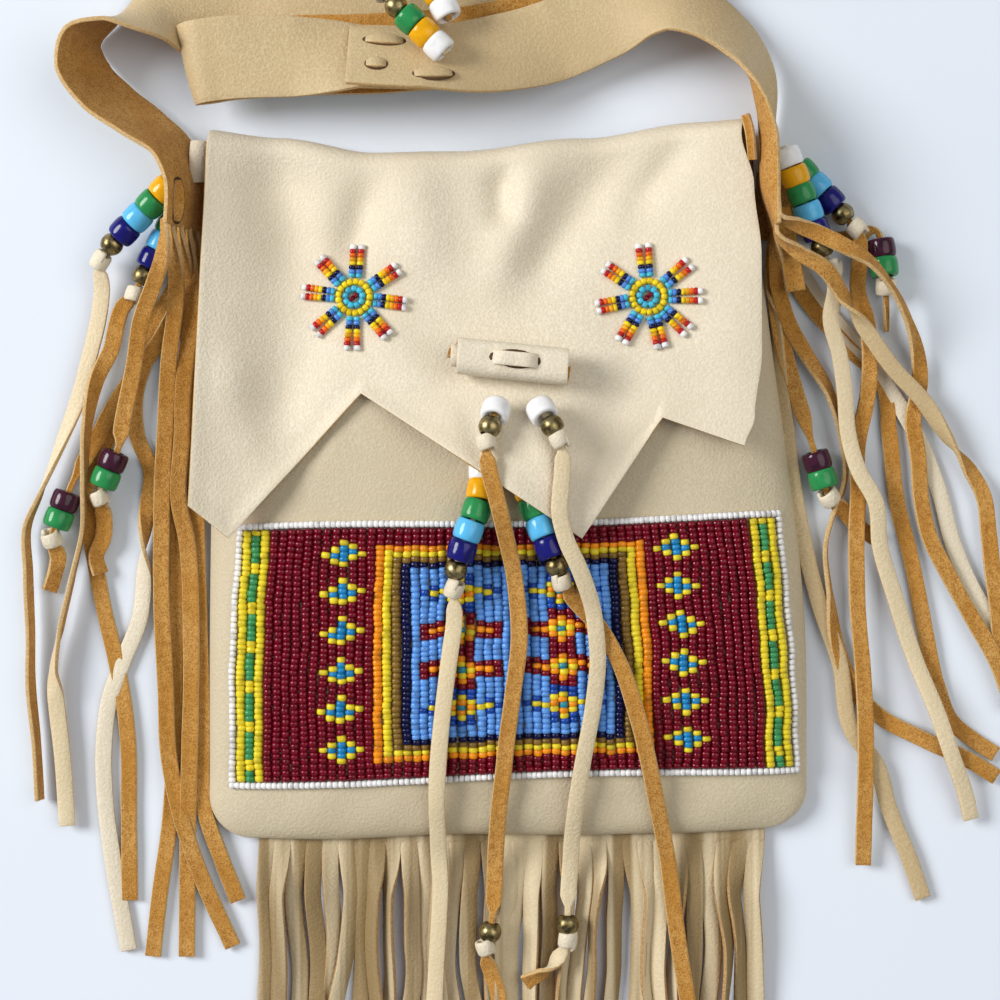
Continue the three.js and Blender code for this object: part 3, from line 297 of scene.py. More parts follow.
def crown(y, side=1.0):
    down = min(1, max(0, (MOUTH_Y - y) / (MOUTH_Y - BOTTOM_Y)))
    mouth = 0.6 + 0.4 * math.sin(math.pi / 2 * min(1, 2 * down))
    seam = 1.5 + 1.5 * (1 - smoothstep(y, BOTTOM_Y, BOTTOM_Y + 18))
    return seam + 11.5 * side * math.sqrt(1 - down**6) * mouth


def ripple(x, y, reach, seed):
    return noise.noise(Vector((x / reach, y / reach, seed)))


def crease(x, y, start, end, width, depth):
    """A soft valley, or a ridge where depth is below 0, that fades out at both ends."""
    a, b = Vector(start), Vector(end)
    run = b - a
    along = (Vector((x, y)) - a).dot(run) / run.length_squared
    off = (Vector((x, y)) - a - run * along).length
    if not -0.3 < along < 1.3:
        return 0
    fade = smoothstep(along, -0.3, 0.3) * (1 - smoothstep(along, 0.7, 1.3))
    return -depth * fade * math.exp(-((off / width) ** 2))


def front_z(x, y):
    """Top of the pouch's front."""
    out = across(x, y)
    calm = (1 - out**4) * smoothstep(y, BOTTOM_Y, BOTTOM_Y + 12)
    slack = 0.8 * ripple(x, y, 34, 3.1) + 0.35 * ripple(x, y, 13, 5.7)
    slack += 0.5 * math.sin(x * 0.33 + 1.4 * ripple(x, y, 20, 8.0)) * (1 - smoothstep(y, -88, -76))
    return crown(y, math.sqrt(1 - out**4)) + LEATHER + calm * slack


FLAP_CREASES = [
    ((-64, 92), (-56, 62), 10, 4.2), ((-56, 62), (-60, 12), 13, 4.2), ((-37, 88), (-43, 62), 5, 2.6),
    ((-1, 90), (0, 76), 4, 3.0), ((28, 90), (6, 58), 8, 3.8), ((10, 92), (-2, 58), 7, -2.4),
    ((49, 92), (34, 76), 5, 2.0), ((-24, 93), (-22, 64), 8, -2.4), ((-74, 40), (-66, 8), 6, -1.2),
    ((34, 34), (18, 6), 6, 1.5), ((-20, 28), (-34, 48), 7, -1.2), ((12, 52), (44, 30), 8, -0.9),
    ((-10, 24), (-4, 6), 4, 1.6), ((8, 22), (14, 2), 4, -1.3), ((-48, 30), (-66, 0), 6, -0.9),
]


def flap_z(x, y):
    """Top of the flap: it rises towards its free sides, where the strap's ends hold it up."""
    droop = 1 - 0.22 * across(x, y) ** 4
    lift = 10.5 * math.exp(-((x - 2) ** 2 + (y - 2) ** 2) / 28**2)
    raised = 6.5 * smoothstep(x, 30, 72) + 8.6 * math.exp(-(((x + 91) / 20) ** 2))
    folds = 0.7 * ripple(x, y, 30, 12.3) + 0.3 * ripple(x, y, 11, 2.9)
    folds += sum(crease(x, y, *line) for line in FLAP_CREASES)
    return 0.3 + (crown(y) + LEATHER) * droop + lift + LEATHER + folds + raised


TOP_SAG = [(-84, 2.4), (-62, 0.5), (-36, -3.6), (-14, -3.2), (20, 0.4), (50, 4.4), (70, 5.6)]
FLAP_CORNERS = [(-84, -1.6), (-73.6, -10.2), (-38.3, 28.4), (20.4, -10.2), (42.2, 21.9), (63.8, 14.3)]
FLAP_COLUMNS = [9, 25, 42, 17, 19]
FLAP_TOP_LEFT, FLAP_TOP_RIGHT, FLAP_LENGTH = -79.5, 63.5, 102.3
FLAP_RIGHT = [(14, 63.8), (22, 66.6), (40, 68.6), (64, 68.6), (80, 66.8), (FOLD_Y, FLAP_TOP_RIGHT)]


def flap_sides(y):
    return mix(FLAP_TOP_LEFT, FLAP_CORNERS[0][0], (FOLD_Y - y) / FLAP_LENGTH), chain(y, FLAP_RIGHT)


def flap_column(index):
    """Place of a column across the flap, 0 to 1, and the y of the flap's lower edge there."""
    for count, (x0, y0), (x1, y1) in zip(FLAP_COLUMNS, FLAP_CORNERS, FLAP_CORNERS[1:]):
        if index <= count:
            x, y = mix(x0, x1, index / count), mix(y0, y1, index / count)
            left, right = flap_sides(y)
            return (x - left) / (right - left), y
        index -= count
    return 1, FLAP_CORNERS[-1][1]


# Making pieces
def mesh_from(name, bm):
    mesh = bpy.data.meshes.new(name)
    bm.to_mesh(mesh)
    bm.free()
    return mesh


def object_from(name, data):
    made = bpy.data.objects.new(name, data)
    bpy.context.scene.collection.objects.link(made)
    return made


def piece(name, bm, materials, stands_for=(), slot="hide"):
    """An object from a mesh in millimetres, riding on the bag."""
    bmesh.ops.scale(bm, vec=(MM, MM, MM), verts=bm.verts)
    mesh = mesh_from(name, bm)
    for face in mesh.polygons:
        face.use_smooth = True
    for each in materials:
        mesh.materials.append(each)
    made = object_from(name, mesh)
    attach(made, "root")
    if stands_for:
        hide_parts(*stands_for)
    return made


def thicken(made):
    """Hide of one thickness: suede inside, a pale cut edge, edges slightly rounded."""
    solid = made.modifiers.new("thickness", "SOLIDIFY")
    solid.thickness = LEATHER * MM
    solid.offset = 0
    solid.use_even_offset = True
    solid.material_offset = 1
    solid.material_offset_rim = 2
    soft = made.modifiers.new("soft_edges", "BEVEL")
    soft.width = EDGE_ROUNDING * MM
    soft.segments = 2
    soft.limit_method = "ANGLE"
    soft.angle_limit = math.radians(52)
    return made


def sheet_grid(bm, columns, rows, place):
    """A grid whose points go to place(column, row)."""
    for vert in bmesh.ops.create_grid(bm, x_segments=columns, y_segments=rows, size=1)["verts"]:
        column = round((vert.co.x + 1) / 2 * columns)
        row = round((vert.co.y + 1) / 2 * rows)
        vert.co = place(column, row)


class Step:
    """One place along a strip of hide."""

    def __init__(self, at, along, side, normal, width):
        self.at = at
        self.along = along
        self.side = side
        self.normal = normal
        self.width = width

    def stand(self):
        """Turns +X to point across the strip and +Y to run along it."""
        axes = Matrix((self.side, self.along, self.side.cross(self.along))).transposed().to_4x4()
        return Matrix.Translation(self.at) @ axes


def trace(rows, width, shift=NO_SHIFT, pace=1.6):
    """Steps on a smooth line through rows of [x, y, z, turn, what sits there], and each row's step."""
    points = [Vector((row[0], row[1], max(row[2], LOWEST))) + shift for row in rows]
    gaps = [(b - a).length for a, b in zip(points, points[1:])]
    speeds = [(points[1] - points[0]) / gaps[0]]
    for i in range(1, len(points) - 1):
        before = (points[i] - points[i - 1]) / gaps[i - 1]
        after = (points[i + 1] - points[i]) / gaps[i]
        speeds.append((before * gaps[i] + after * gaps[i - 1]) / (gaps[i] + gaps[i - 1]))
    speeds.append((points[-1] - points[-2]) / gaps[-1])
    places, at_row = [], [0]
    for i, gap in enumerate(gaps):
        count = max(1, round(gap / pace))
        for k in range(count + (i == len(gaps) - 1)):
            t = k / count
            h00, h10 = 2 * t**3 - 3 * t**2 + 1, t**3 - 2 * t**2 + t
            h01, h11 = 3 * t**2 - 2 * t**3, t**3 - t**2
            at = points[i] * h00 + speeds[i] * (h10 * gap) + points[i + 1] * h01
            at += speeds[i + 1] * (h11 * gap)
            wide = [LACE_NECK if len(row) > 4 else width for row in rows[i:i + 2]]
            ease = smoothstep(t, 0, 0.6) if wide[0] < wide[1] else smoothstep(t, 0.4, 1)
            places.append((at, mix(rows[i][3], rows[i + 1][3], t), mix(*wide, ease)))
        at_row.append(at_row[-1] + count)
    steps, side = [], None
    for k, (at, turn, wide) in enumerate(places):
        along = (places[min(k + 1, len(places) - 1)][0] - places[max(k - 1, 0)][0]).normalized()
        side = Vector((0, 0, 1)).cross(along) if side is None else side
        side = (side - along * side.dot(along)).normalized()
        turned = Matrix.Rotation(math.radians(turn), 3, along) @ side
        steps.append(Step(at, along, turned, along.cross(turned), wide))
    return steps, at_row


def strip(bm, steps, seed, columns=4, cup=0.25, ragged=0.06, bend=None):
    """A strip along steps, slightly cupped, its edges cut by hand. bend gives a stronger bow at a step."""
    def place(column, row):
        step = steps[row]
        u = 1 - 2 * column / columns
        reach = row * 0.11 + seed * 7.3
        wide = step.width * (1 + ragged * noise.noise(Vector((reach, u, seed))))
        bow = cup * (1 - u * u) * min(1, step.width / LACE_WIDTH)
        bow += bend(step) * (1 - u * u) if bend else 0
        wave = 0.22 * noise.noise(Vector((reach, u * 0.6, seed + 40)))
        return step.at + step.side * (u * wide / 2) + step.normal * (bow + wave - cup / 2)
    sheet_grid(bm, columns, len(steps) - 1, place)


def hide_sheet(name, columns, rows, place, smooth_side, node):
    """A piece of hide in the form that place(column, row) gives."""
    bm = bmesh.new()
    sheet_grid(bm, columns, rows, place)
    return thicken(piece(name, bm, sides(smooth_side), [node]))


def hide_strip(name, steps, smooth_side, stands_for=(), slot="hide", **form):
    """A piece that is one strip of hide."""
    bm = bmesh.new()
    strip(bm, steps, **form)
    return thicken(piece(name, bm, sides(smooth_side), stands_for, slot))


def spun(bm, segments, section, **spin):
    """A closed section, given as (out, along) for a place on the unit circle, spun about +Y."""
    made = bmesh.ops.create_circle(bm, segments=segments, radius=1)["verts"]
    for vert in made:
        out, along = section(vert.co.x, vert.co.y)
        vert.co = (out, along, 0)
    edges = list({edge for vert in made for edge in vert.link_edges})
    bmesh.ops.spin(bm, geom=made + edges, cent=(0, 0, 0), axis=(0, 1, 0), **spin)
    return made


def ring(bm, section, centre, slot):
    """A bead, spun from its section and put in place."""
    made = spun(bm, BEAD_SEGMENTS, section, angle=2 * math.pi, steps=BEAD_STEPS, use_merge=True)
    bead = set(made)
    todo = list(made)
    while todo:
        for edge in todo.pop().link_edges:
            for vert in edge.verts:
                if vert not in bead:
                    bead.add(vert)
                    todo.append(vert)
    faces = {face for vert in bead for face in vert.link_faces}
    bmesh.ops.recalc_face_normals(bm, faces=list(faces))
    for face in faces:
        face.material_index = slot
    bmesh.ops.transform(bm, matrix=centre, verts=list(bead))


def soft_power(value, power):
    return math.copysign(abs(value) ** power, value)


def pony_section(x, y):
    middle = (PONY_RADIUS + BORE_RADIUS) / 2
    return middle + (PONY_RADIUS - middle) * soft_power(x, 0.55), PONY_LENGTH / 2 * soft_power(y, 0.75)


def bronze_section(x, y):
    along = math.sqrt(BRONZE_RADIUS**2 - BORE_RADIUS**2) * y
    return (math.sqrt(BRONZE_RADIUS**2 - along**2) if x > 0.01 else BORE_RADIUS), along


def bead_length(kind):
    return 2 * math.sqrt(BRONZE_RADIUS**2 - BORE_RADIUS**2) if kind == "bronze" else PONY_LENGTH


def beads(name, kinds, stand, node):
    """Beads in a row on a strip, the first towards the strip's start."""
    bm = bmesh.new()
    end = -sum(bead_length(kind) for kind in kinds) / 2
    for i, kind in enumerate(kinds):
        middle = end + bead_length(kind) / 2
        tilt = Matrix.Rotation(0.05 * math.sin(3.1 * i + len(name)), 4, "X")
        section = bronze_section if kind == "bronze" else pony_section
        ring(bm, section, stand @ Matrix.Translation((0, middle, 0)) @ tilt, i)
        end += bead_length(kind)
    slot = "mixed_beads" if len(kinds) > 2 else "purple_bead" if len(kinds) == 2 else kinds[0] + "_bead"
    return piece(name, bm, [PONY[kind] for kind in kinds], [node], "bronze" if kinds == ["bronze"] else slot)


KNOT_CLIMB, KNOT_STEPS = 1.5, 30


def knot_section(x, y):
    return 2.0 + 0.62 * soft_power(x, 0.7), 1.9 * soft_power(y, 0.55) - 0.7


def knot(bm, step, lean, back):
    """The strip wound round itself: a flat band that climbs as it goes round, pushed back to the bead."""
    start = len(bm.verts)
    spun(bm, 12, knot_section, dvec=(0, KNOT_CLIMB / KNOT_STEPS, 0), angle=2.6 * math.pi, steps=KNOT_STEPS)
    bm.verts.ensure_lookup_table()
    band = bm.verts[start:]
    rim = [edge for vert in band for edge in vert.link_edges if edge.is_boundary]
    bmesh.ops.holes_fill(bm, edges=list(set(rim)), sides=0)
    faces = list({face for vert in band for face in vert.link_faces})
    bmesh.ops.recalc_face_normals(bm, faces=faces)
    for vert in band:
        pinch = 1 - 0.16 * smoothstep(abs(vert.co.y), 1.2, 3)
        vert.co.x *= pinch
        vert.co.z *= pinch * 0.9
    turn = Matrix.Rotation(0.6 * lean, 4, "Z") @ Matrix.Rotation(2.2 * lean, 4, "Y")
    place = step.stand() @ Matrix.Translation((0, -back, 0)) @ turn @ Matrix.Scale(1.1, 4)
    bmesh.ops.transform(bm, matrix=place, verts=band)


def metres(steps):
    return [tuple(step.at * MM) for step in steps]


def length_of(steps):
    return sum((b.at - a.at).length for a, b in zip(steps, steps[1:])) * MM


# Routes: rows of [x, y, z, turn about the strip in degrees, what sits there], near those of the solids
def route(*rows):
    """Full rows from short ones: a row that leaves out its turn, or z as well, has the last row's."""
    full, last = [], []
    for row in rows:
        tag = [part for part in row if isinstance(part, str)]
        given = row[:len(row) - len(tag)]
        last = given + last[len(given):]
        full.append(last + tag)
    return full


STRAP_LEFT = route(
    [-86.5, 70, 11.9, -111], [-86.5, 86], [-90, 95, 11.7, -116], [-98, 101.5, 11.5, -122],
    [-107.5, 108.5, 10.8, -125], [-114, 117, 10.8, -122], [-114, 124.5, 11.2, -108],
    [-106.5, 129, 11.7, -90], [-97, 131, 10.8, -55], [-89, 131.5, 6.3, -22], [-78, 131.8, 2.5, -5],
    [-56, 132, 1.7, 0], [-30, 134], [0, 142.5], [32, 151.5], [70, 160], [100, 163.5], [108, 164.5, 1.8],
    [113, 165, 2.6], [115, 165.2, 5], [113, 165, 7.4], [107, 164.4, 7.8], [82, 160, 5.6], [54, 150.5, 3.6],
    [26, 135, 4.6], [0, 125.2, 5.4], [-30, 121.6, 6], [-58, 120.6, 6.2], [-75, 119.4, 6.7],
    [-82.6, 118, 7.6], [-85.8, 117.4, 9.8], [-84, 117.6, 12.6], [-77, 118.5, 13.6], [-57, 119, 13.4, -8],
    [-39, 119.2, 13.4, -37], [-20, 119, 12.8, -36],
)
STRAP_RIGHT = route(
    [-41, 118.8, 17.4, -38], [-22, 118.2, 16.8, -36], [-1, 120.2, 12, -15], [15, 124.6, 8.6, 0],
    [28.5, 130.5, 9.4, -8], [38, 134.4, 12, -24], [46, 134.4, 13.4, -42], [55, 130.6, 13.2, -54],
    [64.5, 123.4, 12.4, -62], [70.6, 114.6, 12.2, -74], [73, 105.8, 12.4, -88], [73.6, 97, 12.6, -98],
    [73.6, 86, 12.8, -100], [73.6, 70],
)
TAILS_LEFT = [
    route([-94.2, 58.8, 12, 180], [-98.9, 47.6, 8], [-100.8, 37.7, 5], [-104.1, 21.1],
          [-104.9, 14.8, 6, "neck"], [-107.5, 8.3, 6.2, "pair"], [-110.4, 0, 5, "knot"],
          [-109.4, -4.5, 3.6], [-109.8, -10.9, 3.2], [-111.7, -15.3, 3.2, 150], [-110.4, -20.2]),
    route([-87.5, 58, 4, 180], [-93, 46, 2.4], [-104.9, 29, 2.2], [-112.8, 14.5],
          [-117.5, 5.4, 4.6, "neck"], [-120.4, -2.7, 6, "pair"], [-123.3, -11.3, 4.8, "knot"],
          [-122, -15.5, 3], [-122.9, -19.5, 2.2, 150], [-124.6, -24.9]),
    route([-89, 57.4, 8, 180], [-91.5, 37.7, 4.5], [-92.9, 17.8, 3.2], [-93.7, -1.6], [-93.7, -29],
          [-92.6, -51.7], [-91.8, -69.7], [-88.5, -86.2], [-83.6, -101.5, 2.2], [-74.5, -122.3, 1.4]),
    route([-85.5, 50.9, 3.8, 180], [-87.7, 31.2], [-88.2, 16.4], [-89, 0], [-86.8, -10.9], [-85.7, -29],
          [-85.7, -56.1], [-86.3, -78.8, 3.6], [-86.8, -97.1, 2], [-87.1, -125, 1.4]),
    route([-84.2, 46.5, 2.6, 180], [-84.6, 13.7, 2.2], [-84, -16.4], [-83.5, -34.5], [-83, -47],
          [-82.8, -65.1], [-82.3, -83.4], [-77, -99.6, 2], [-73, -109.7, 1.8]),
]
TAILS_RIGHT = [
    route([84, 71.2, 18.2, 180], [91, 68, 17.6, 150], [98.6, 64.2, 15.4, 120], [105.4, 57, 11, 110],
          [110.6, 48.2, 7, 120], [113.6, 40, 4.4, 150], [114.3, 31.5, 3.2, 180], [112.5, 22.2],
          [113.9, 11.8], [114.7, 0], [116.6, -8.8], [121.8, -19.7], [127.6, -30.4], [135.5, -44.6, 3.4],
          [140, -57, 3.2]),
    route([86.8, 62.1, 13.8, 180], [92.3, 55, 10.5, 150], [98.6, 46.5, 8, 20], [106.3, 36.1, 6.5, 0],
          [114.7, 27.1, 5.4], [121.8, 16.7, 4, 60], [127.9, 8.2, 3.4, 150], [131.7, 1.4, 3.2, 180],
          [133.1, -8.8], [134.4, -21.3], [135.5, -28.7], [136.5, -45, 3]),
    route([74.4, 60.4, 4, 180], [76.8, 43.2, 3.2], [80.5, 29.3, 3.6], [84.4, 15.8, 5.6, "neck"],
          [86.6, 8.2, 6.2, "pair"], [89.8, 0.3, 5, "knot"], [93.4, -2.6, 3], [97.5, -7.1, 2.2],
          [103, -10.9, 2]),
    route([75.4, 58, 6, 180], [78.2, 48.7, 4.2], [83.3, 39.7, 3.2, 150], [89.6, 29.3, 3.2, 120],
          [92.8, 18.9, 3, 110], [93.7, 4.6, 2.8, 100], [91.2, -2.7, 2.8, 90], [88.8, -11.2],
          [89.8, -25.4, 2.8, 100], [92, -40.5, 2.4, 150], [97.5, -53.1, 1.4, 180], [103.2, -58.8],
          [115.8, -65.6, 3.2], [128.4, -71.4], [135.5, -75.8, 2.4]),
    route([74.9, 50, 2.6, 60], [78.4, 16.4, 2.4, 20], [80.6, -0.3, 2.2, 0], [84, -17], [87.4, -29.5],
          [92.6, -44.6], [95.9, -63.2, 2.8], [102.4, -72.2], [106, -84, 2], [111.7, -98.2, 1.8],
          [115.5, -109.1, 1.4]),
]
SIDE_FRINGE_LEFT = [
    route([-85, 76, 0.7, 180], [-87, 66], [-97, 46.5], [-106.5, 21.9], [-112, 8.2], [-113.9, -2.7],
          [-111.7, -20], [-109, -33.4], [-106.8, -42.7], [-104.3, -56.1], [-103, -69.7], [-103, -83.4],
          [-102.7, -109.7]),
    route([-84, 76, 0.9, 180], [-86, 66], [-97, 41.8], [-101.3, 27.4], [-100.8, 17.8], [-97, 7.9],
          [-98, -2.7, 1.3, 170], [-98.6, -12.3, 3.2, 90], [-98.8, -21.6, 1.3, 10], [-100, -32.5, 0.9, 0],
          [-104.3, -43.5], [-108.2, -54.4], [-109.8, -67], [-109.5, -81.5], [-107.6, -97], [-103, -123.4]),
    route([-82.5, 76, 0.78, 180], [-83, 66], [-88.2, 27.4], [-89.8, -27.4], [-90.4, -54.7], [-90.9, -76],
          [-92.3, -92.4], [-94.5, -107.8], [-96.4, -125]),
]
SIDE_FRINGE_RIGHT = [
    route([75, 78, 0.7, 180], [77, 69], [82, 57.4], [94.5, 42.4], [104.3, 32.5], [106.3, 18.9],
          [108.4, -0.3], [112.5, -17], [115.8, -33.9], [119.4, -50.6], [123.5, -60.7], [129.2, -65.6],
          [135.5, -69.7]),
    route([76, 80, 0.9, 0], [79, 69], [86, 56], [99, 40], [112, 21], [120.2, 1.4], [123.5, -11.2],
          [128.4, -23], [135.5, -35.6], [140, -47]),
    route([76, 82, 0.78, 180], [81, 76], [87, 72], [95, 71.5], [102.4, 73.6, 3, "neck"],
          [104, 66, 4.3, "pair"], [105, 57.4, 4, "knot"], [105.2, 53, 2.6, 120, "neck"],
          [105.2, 46, 2.4, 90, "neck"]),
]
LACES = {
    "flap_lace_left": route(
        [-1.3, 27.8, 21.6, 180, "hole"], [-2.2, 23.8, 25.1, "white"], [-3, 21.4, 26.6, "neck"],
        [-3.8, 19.3, 27.6, "bronze"], [-4.8, 13.6, 27.4, "knot"], [-4, 7.5, 27.6], [-2.4, 1.5, 27.4],
        [-1, -4, 26.4], [0.6, -10.8, 23], [2.2, -18, 19.6], [3.1, -24.3, 18], [3.9, -37.8, 17.4],
        [2.3, -51.3, 16.8], [0, -70.2, 14.8], [-1.6, -84.8, 11.6], [-2.2, -92, 8.6], [-2.5, -99, 6.4],
        [-2.7, -106.5, 6.2], [-3.2, -112.5, 7, "neck"], [-3.9, -117, 7.8, "bronze"],
        [-5.2, -122.7, 7.4, "knot"], [-3.6, -128.4, 5.4], [-1.8, -134, 4.8], [-1.2, -143, 4.4],
    ),
    "flap_lace_right": route(
        [7.8, 27.6, 21.4, 0, "hole"], [9.6, 23.8, 24.9, "white"], [11.2, 21.4, 26.4, "neck"],
        [12.5, 19.4, 27.4, "bronze"], [14.9, 14.3, 27.2, "knot"], [15.2, 8, 26.8], [14.6, 1.5, 26.6],
        [14.4, -3.5, 26.4], [15.4, -8, 25.8], [16.8, -12, 25.2], [19, -16.5, 24.4], [21.6, -23, 22.4],
        [23.4, -29, 20.2], [24.3, -35, 19.4], [24.8, -42, 18.4], [23.8, -54, 16.6], [21, -70.2, 14.8],
        [18.9, -84.8, 11.6], [18.2, -92, 8.6], [17.9, -99, 6.4], [17.4, -106, 6.2],
        [17.2, -110.5, 7, "neck"], [17.1, -115, 7.8, "bronze"], [16.6, -120.8, 7.4, "knot"],
        [13.7, -125.4, 6.6, 60], [10.2, -128.6, 6, 150], [5.4, -131.4, 5, 180],
    ),
    "pouch_lace_left": route(
        [-5.7, 12.6, 17.6, 0, "hole"], [-5.7, 8, 18.3, "white"], [-6.2, 2.6, 19.4, "yellow"],
        [-7.5, -2.8, 20.6, "green"], [-9.5, -8, 21.2, "light_blue"], [-11.3, -13.3, "dark_blue"],
        [-12.9, -18.5, 20.8, "bronze"], [-13.3, -25.1, 19.6, "knot"], [-13.4, -32.5, 17.8],
        [-14.4, -40, 17.2], [-15.5, -48.6], [-17.7, -70.2, 15.4], [-18.2, -82.6, 12.8], [-18, -90, 9.4],
        [-17.8, -97, 6.6], [-17.4, -104, 5.8], [-17.8, -116, 5.4], [-18.6, -128, 5.2], [-19.2, -140, 5],
        [-19.6, -152, 4.8],
    ),
    "pouch_lace_right": route(
        [5.2, 8, 18, 180, "hole"], [6.2, 3, 18.8, "yellow"], [7.9, -2.2, 19.6, "green"],
        [9.8, -7.4, 20.8, "light_blue"], [11.9, -12.6, 21.2, "dark_blue"], [13.8, -17.5, 20.9, "bronze"],
        [15.9, -22.8, 19.6, "knot"], [19.2, -27.4, 17.8], [24.5, -33, 17.4], [30, -42, 16.8],
        [35.2, -56.7, 16.4], [39.2, -72.9, 14.4], [41.5, -84, 11], [43, -91, 8.6], [44.4, -98, 6.4],
        [45.4, -105.3, 5.8], [47.9, -124.2, 5.2], [50, -137, 5], [51.5, -150, 4.8],
    ),
    "side_lace_left_upper": route(
        [-90, 85.4, 11.8, 0, "hole"], [-99.1, 76.4, 9.6, "stack"], [-108.2, 67.4, 7.4, "neck"],
        [-109.8, 64.4, 6.8, "knot"], [-109.6, 57.6, 5], [-110.4, 50.9, 4.8], [-113.4, 37.7, 5],
        [-116.1, 27.6], [-121.3, 14.5, 5, 40], [-127, 0.5, 5, 80], [-130, -6.5, 4.6, 90], [-130, -20, 4.2],
        [-129.4, -38, 4], [-129.4, -51.7, 3.8], [-128, -65.1, 3.6], [-127, -82, 3.4],
    ),
    "side_lace_left_lower": route(
        [-89.6, 77.2, 5.6, 180, "hole"], [-94.6, 67.85, 5.5, "stack"], [-99.6, 58.5, 5.4, "neck"],
        [-101.2, 55.4, "knot"], [-103.9, 52.6, 5.6], [-105.6, 47.4, 6], [-106.8, 41.5, 6.2],
        [-110.6, 33.6, 6.4, 150], [-113.4, 21, 6.8, 110], [-114.4, 5, 6.6, 95], [-115, -8, 5, 90],
        [-117.6, -20, 4.6], [-121, -35], [-123, -47, 4.4, 60], [-122.5, -54, 3.6, 0], [-121, -68, 3.2],
        [-119.5, -89, 2.8],
    ),
    "side_lace_right_upper": route(
        [75.7, 95.1, 13, 0, "hole"], [81.8, 80.1, 11.6, "stack"], [87.9, 65.1, 10.2, "neck"],
        [90, 62.2, 8.8, "knot"], [90.6, 57.6, 8.2], [89.4, 49.4, 7], [91.9, 39.2, 6.6], [93.3, 28.9],
        [94.1, 18.6], [97, 8.1, 7], [101.6, -0.3, 6.6], [103.2, -12.9, 5], [107.6, -27.1, 4],
        [112.5, -42.1, 3.4], [118.3, -57.2, 5.4], [122.7, -69.7, 5.6], [126.8, -80.7, 4], [128.4, -87.2, 3],
    ),
    "side_lace_right_lower": route(
        [80.4, 91.3, 4.6, 180, "hole"], [87.65, 83.5, 5, "stack"], [94.9, 75.7, 5.4, "neck"],
        [97, 73.1, 6.2, "knot"], [97.6, 67.4, 5.4], [97.3, 56.4, 4.6], [99.5, 49.4, 4.4], [100.6, 39.2],
        [100, 29.3], [97.2, 15.3], [97.2, 0, 4.6], [96.9, -8.8], [97, -25.4, 4.4], [98.9, -50.6, 4.6],
        [99.4, -67.3], [99.1, -84, 4.2], [98.9, -99.8, 2.6],
    ),
    "splice_lace_lower": route(
        [-14.4, 118.5, 19.6, 0, "hole"], [-22.2, 125.85, "stack"], [-30, 133.2, "neck"],
        [-32.4, 135.5, 19.2, "knot"], [-35.4, 139.6, 17], [-37.4, 143.6, 13, 60], [-38.6, 148.6, 8, 90],
    ),
    "splice_lace_upper": route(
        [-14.6, 129.6, 12.6, 0, "hole"], [-14, 128.6, 17.8, "neck"], [-18.2, 137.5, 16.4, "stack"],
        [-22.8, 147, 14.8, "neck"], [-24.2, 149.9, 14.2, "knot"], [-25.6, 154.4, 12], [-26.6, 160, 9, 40],
        [-27, 166, 6, 80],
    ),
}


# Lace, knots and beads
FLAP_LACE_START, WHITE_SLIP, POUCH_BEAD_STRETCH = 0.6, 0.6, 1.09


def lace(name, shift=NO_SHIFT, stack=(), lean=0.5, slot="hide"):
    """A lace with its beads and knots."""
    rows = LACES[name]
    if name.startswith("flap"):
        start = Vector(rows[0][:3]).lerp(Vector(rows[1][:3]), FLAP_LACE_START)
        rows = [list(start) + rows[0][3:]] + rows[1:]
    steps, at_row = trace(rows, LACE_WIDTH, shift)
    seed = len(name) + rows[0][0] * 0.1
    made = hide_strip(name + "_strip", steps, LACE_HIDE, [name], slot, seed=seed)
    ties = bmesh.new()
    for i, row in enumerate(rows):
        step = steps[at_row[i]]
        tag = row[4] if len(row) > 4 else ""
        if tag in PONY:
            node = f"{name}_{tag}_{i}"
            slip = WHITE_SLIP if tag == "white" and name.startswith("flap") else 0
            long = POUCH_BEAD_STRETCH if name.startswith("pouch") and tag != "bronze" else 1
            place = step.stand() @ Matrix.Translation((0, slip, 0)) @ Matrix.Diagonal((1, long, 1, 1))
            beads(node + "_bead", [tag], place, node)
        elif tag == "stack":
            beads(name + "_bead_row", list(stack), step.stand(), name + "_beads")
        elif tag == "knot":
            knot(ties, step, lean, 0.8 if stack else 1.8)
    piece(name + "_knots", ties, [HIDE], slot=slot)
    line = metres(steps)
    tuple(line[0])
    length_of(steps)


lace("flap_lace_left", slot="suede")
lace("flap_lace_right", lean=-0.4)
lace("pouch_lace_left", lean=0.6)
lace("pouch_lace_right", lean=-0.5, slot="suede")
LONG_STACK = ("yellow", "green", "light_blue", "dark_blue", "bronze")
TOP_STACK = ("white", "yellow", "green", "bronze")
lace("side_lace_left_upper", LEFT_SHIFT, LONG_STACK)
lace("side_lace_left_lower", LEFT_SHIFT, LONG_STACK[1:], slot="suede")
lace("side_lace_right_upper", RIGHT_SHIFT, ("white",) + LONG_STACK)
lace("side_lace_right_lower", RIGHT_SHIFT, LONG_STACK[1:], slot="suede")
lace("splice_lace_lower", RIGHT_SHIFT, TOP_STACK)
lace("splice_lace_upper", RIGHT_SHIFT, TOP_STACK)


# Strap halves with their tails, and the side fringes
STRAP_END_Y, TAIL_ROOT_Y, TAIL_ROOT = 72.6, 75, 3.5
RIGHT_FOLD, LEFT_FOLD = -4.0, -0.8
STRAP_ENDS = {"strap_left": ((0, 2, 1, 3, 4), 1.2), "strap_right": ((0, 1, 3, 2, 4), 0)}


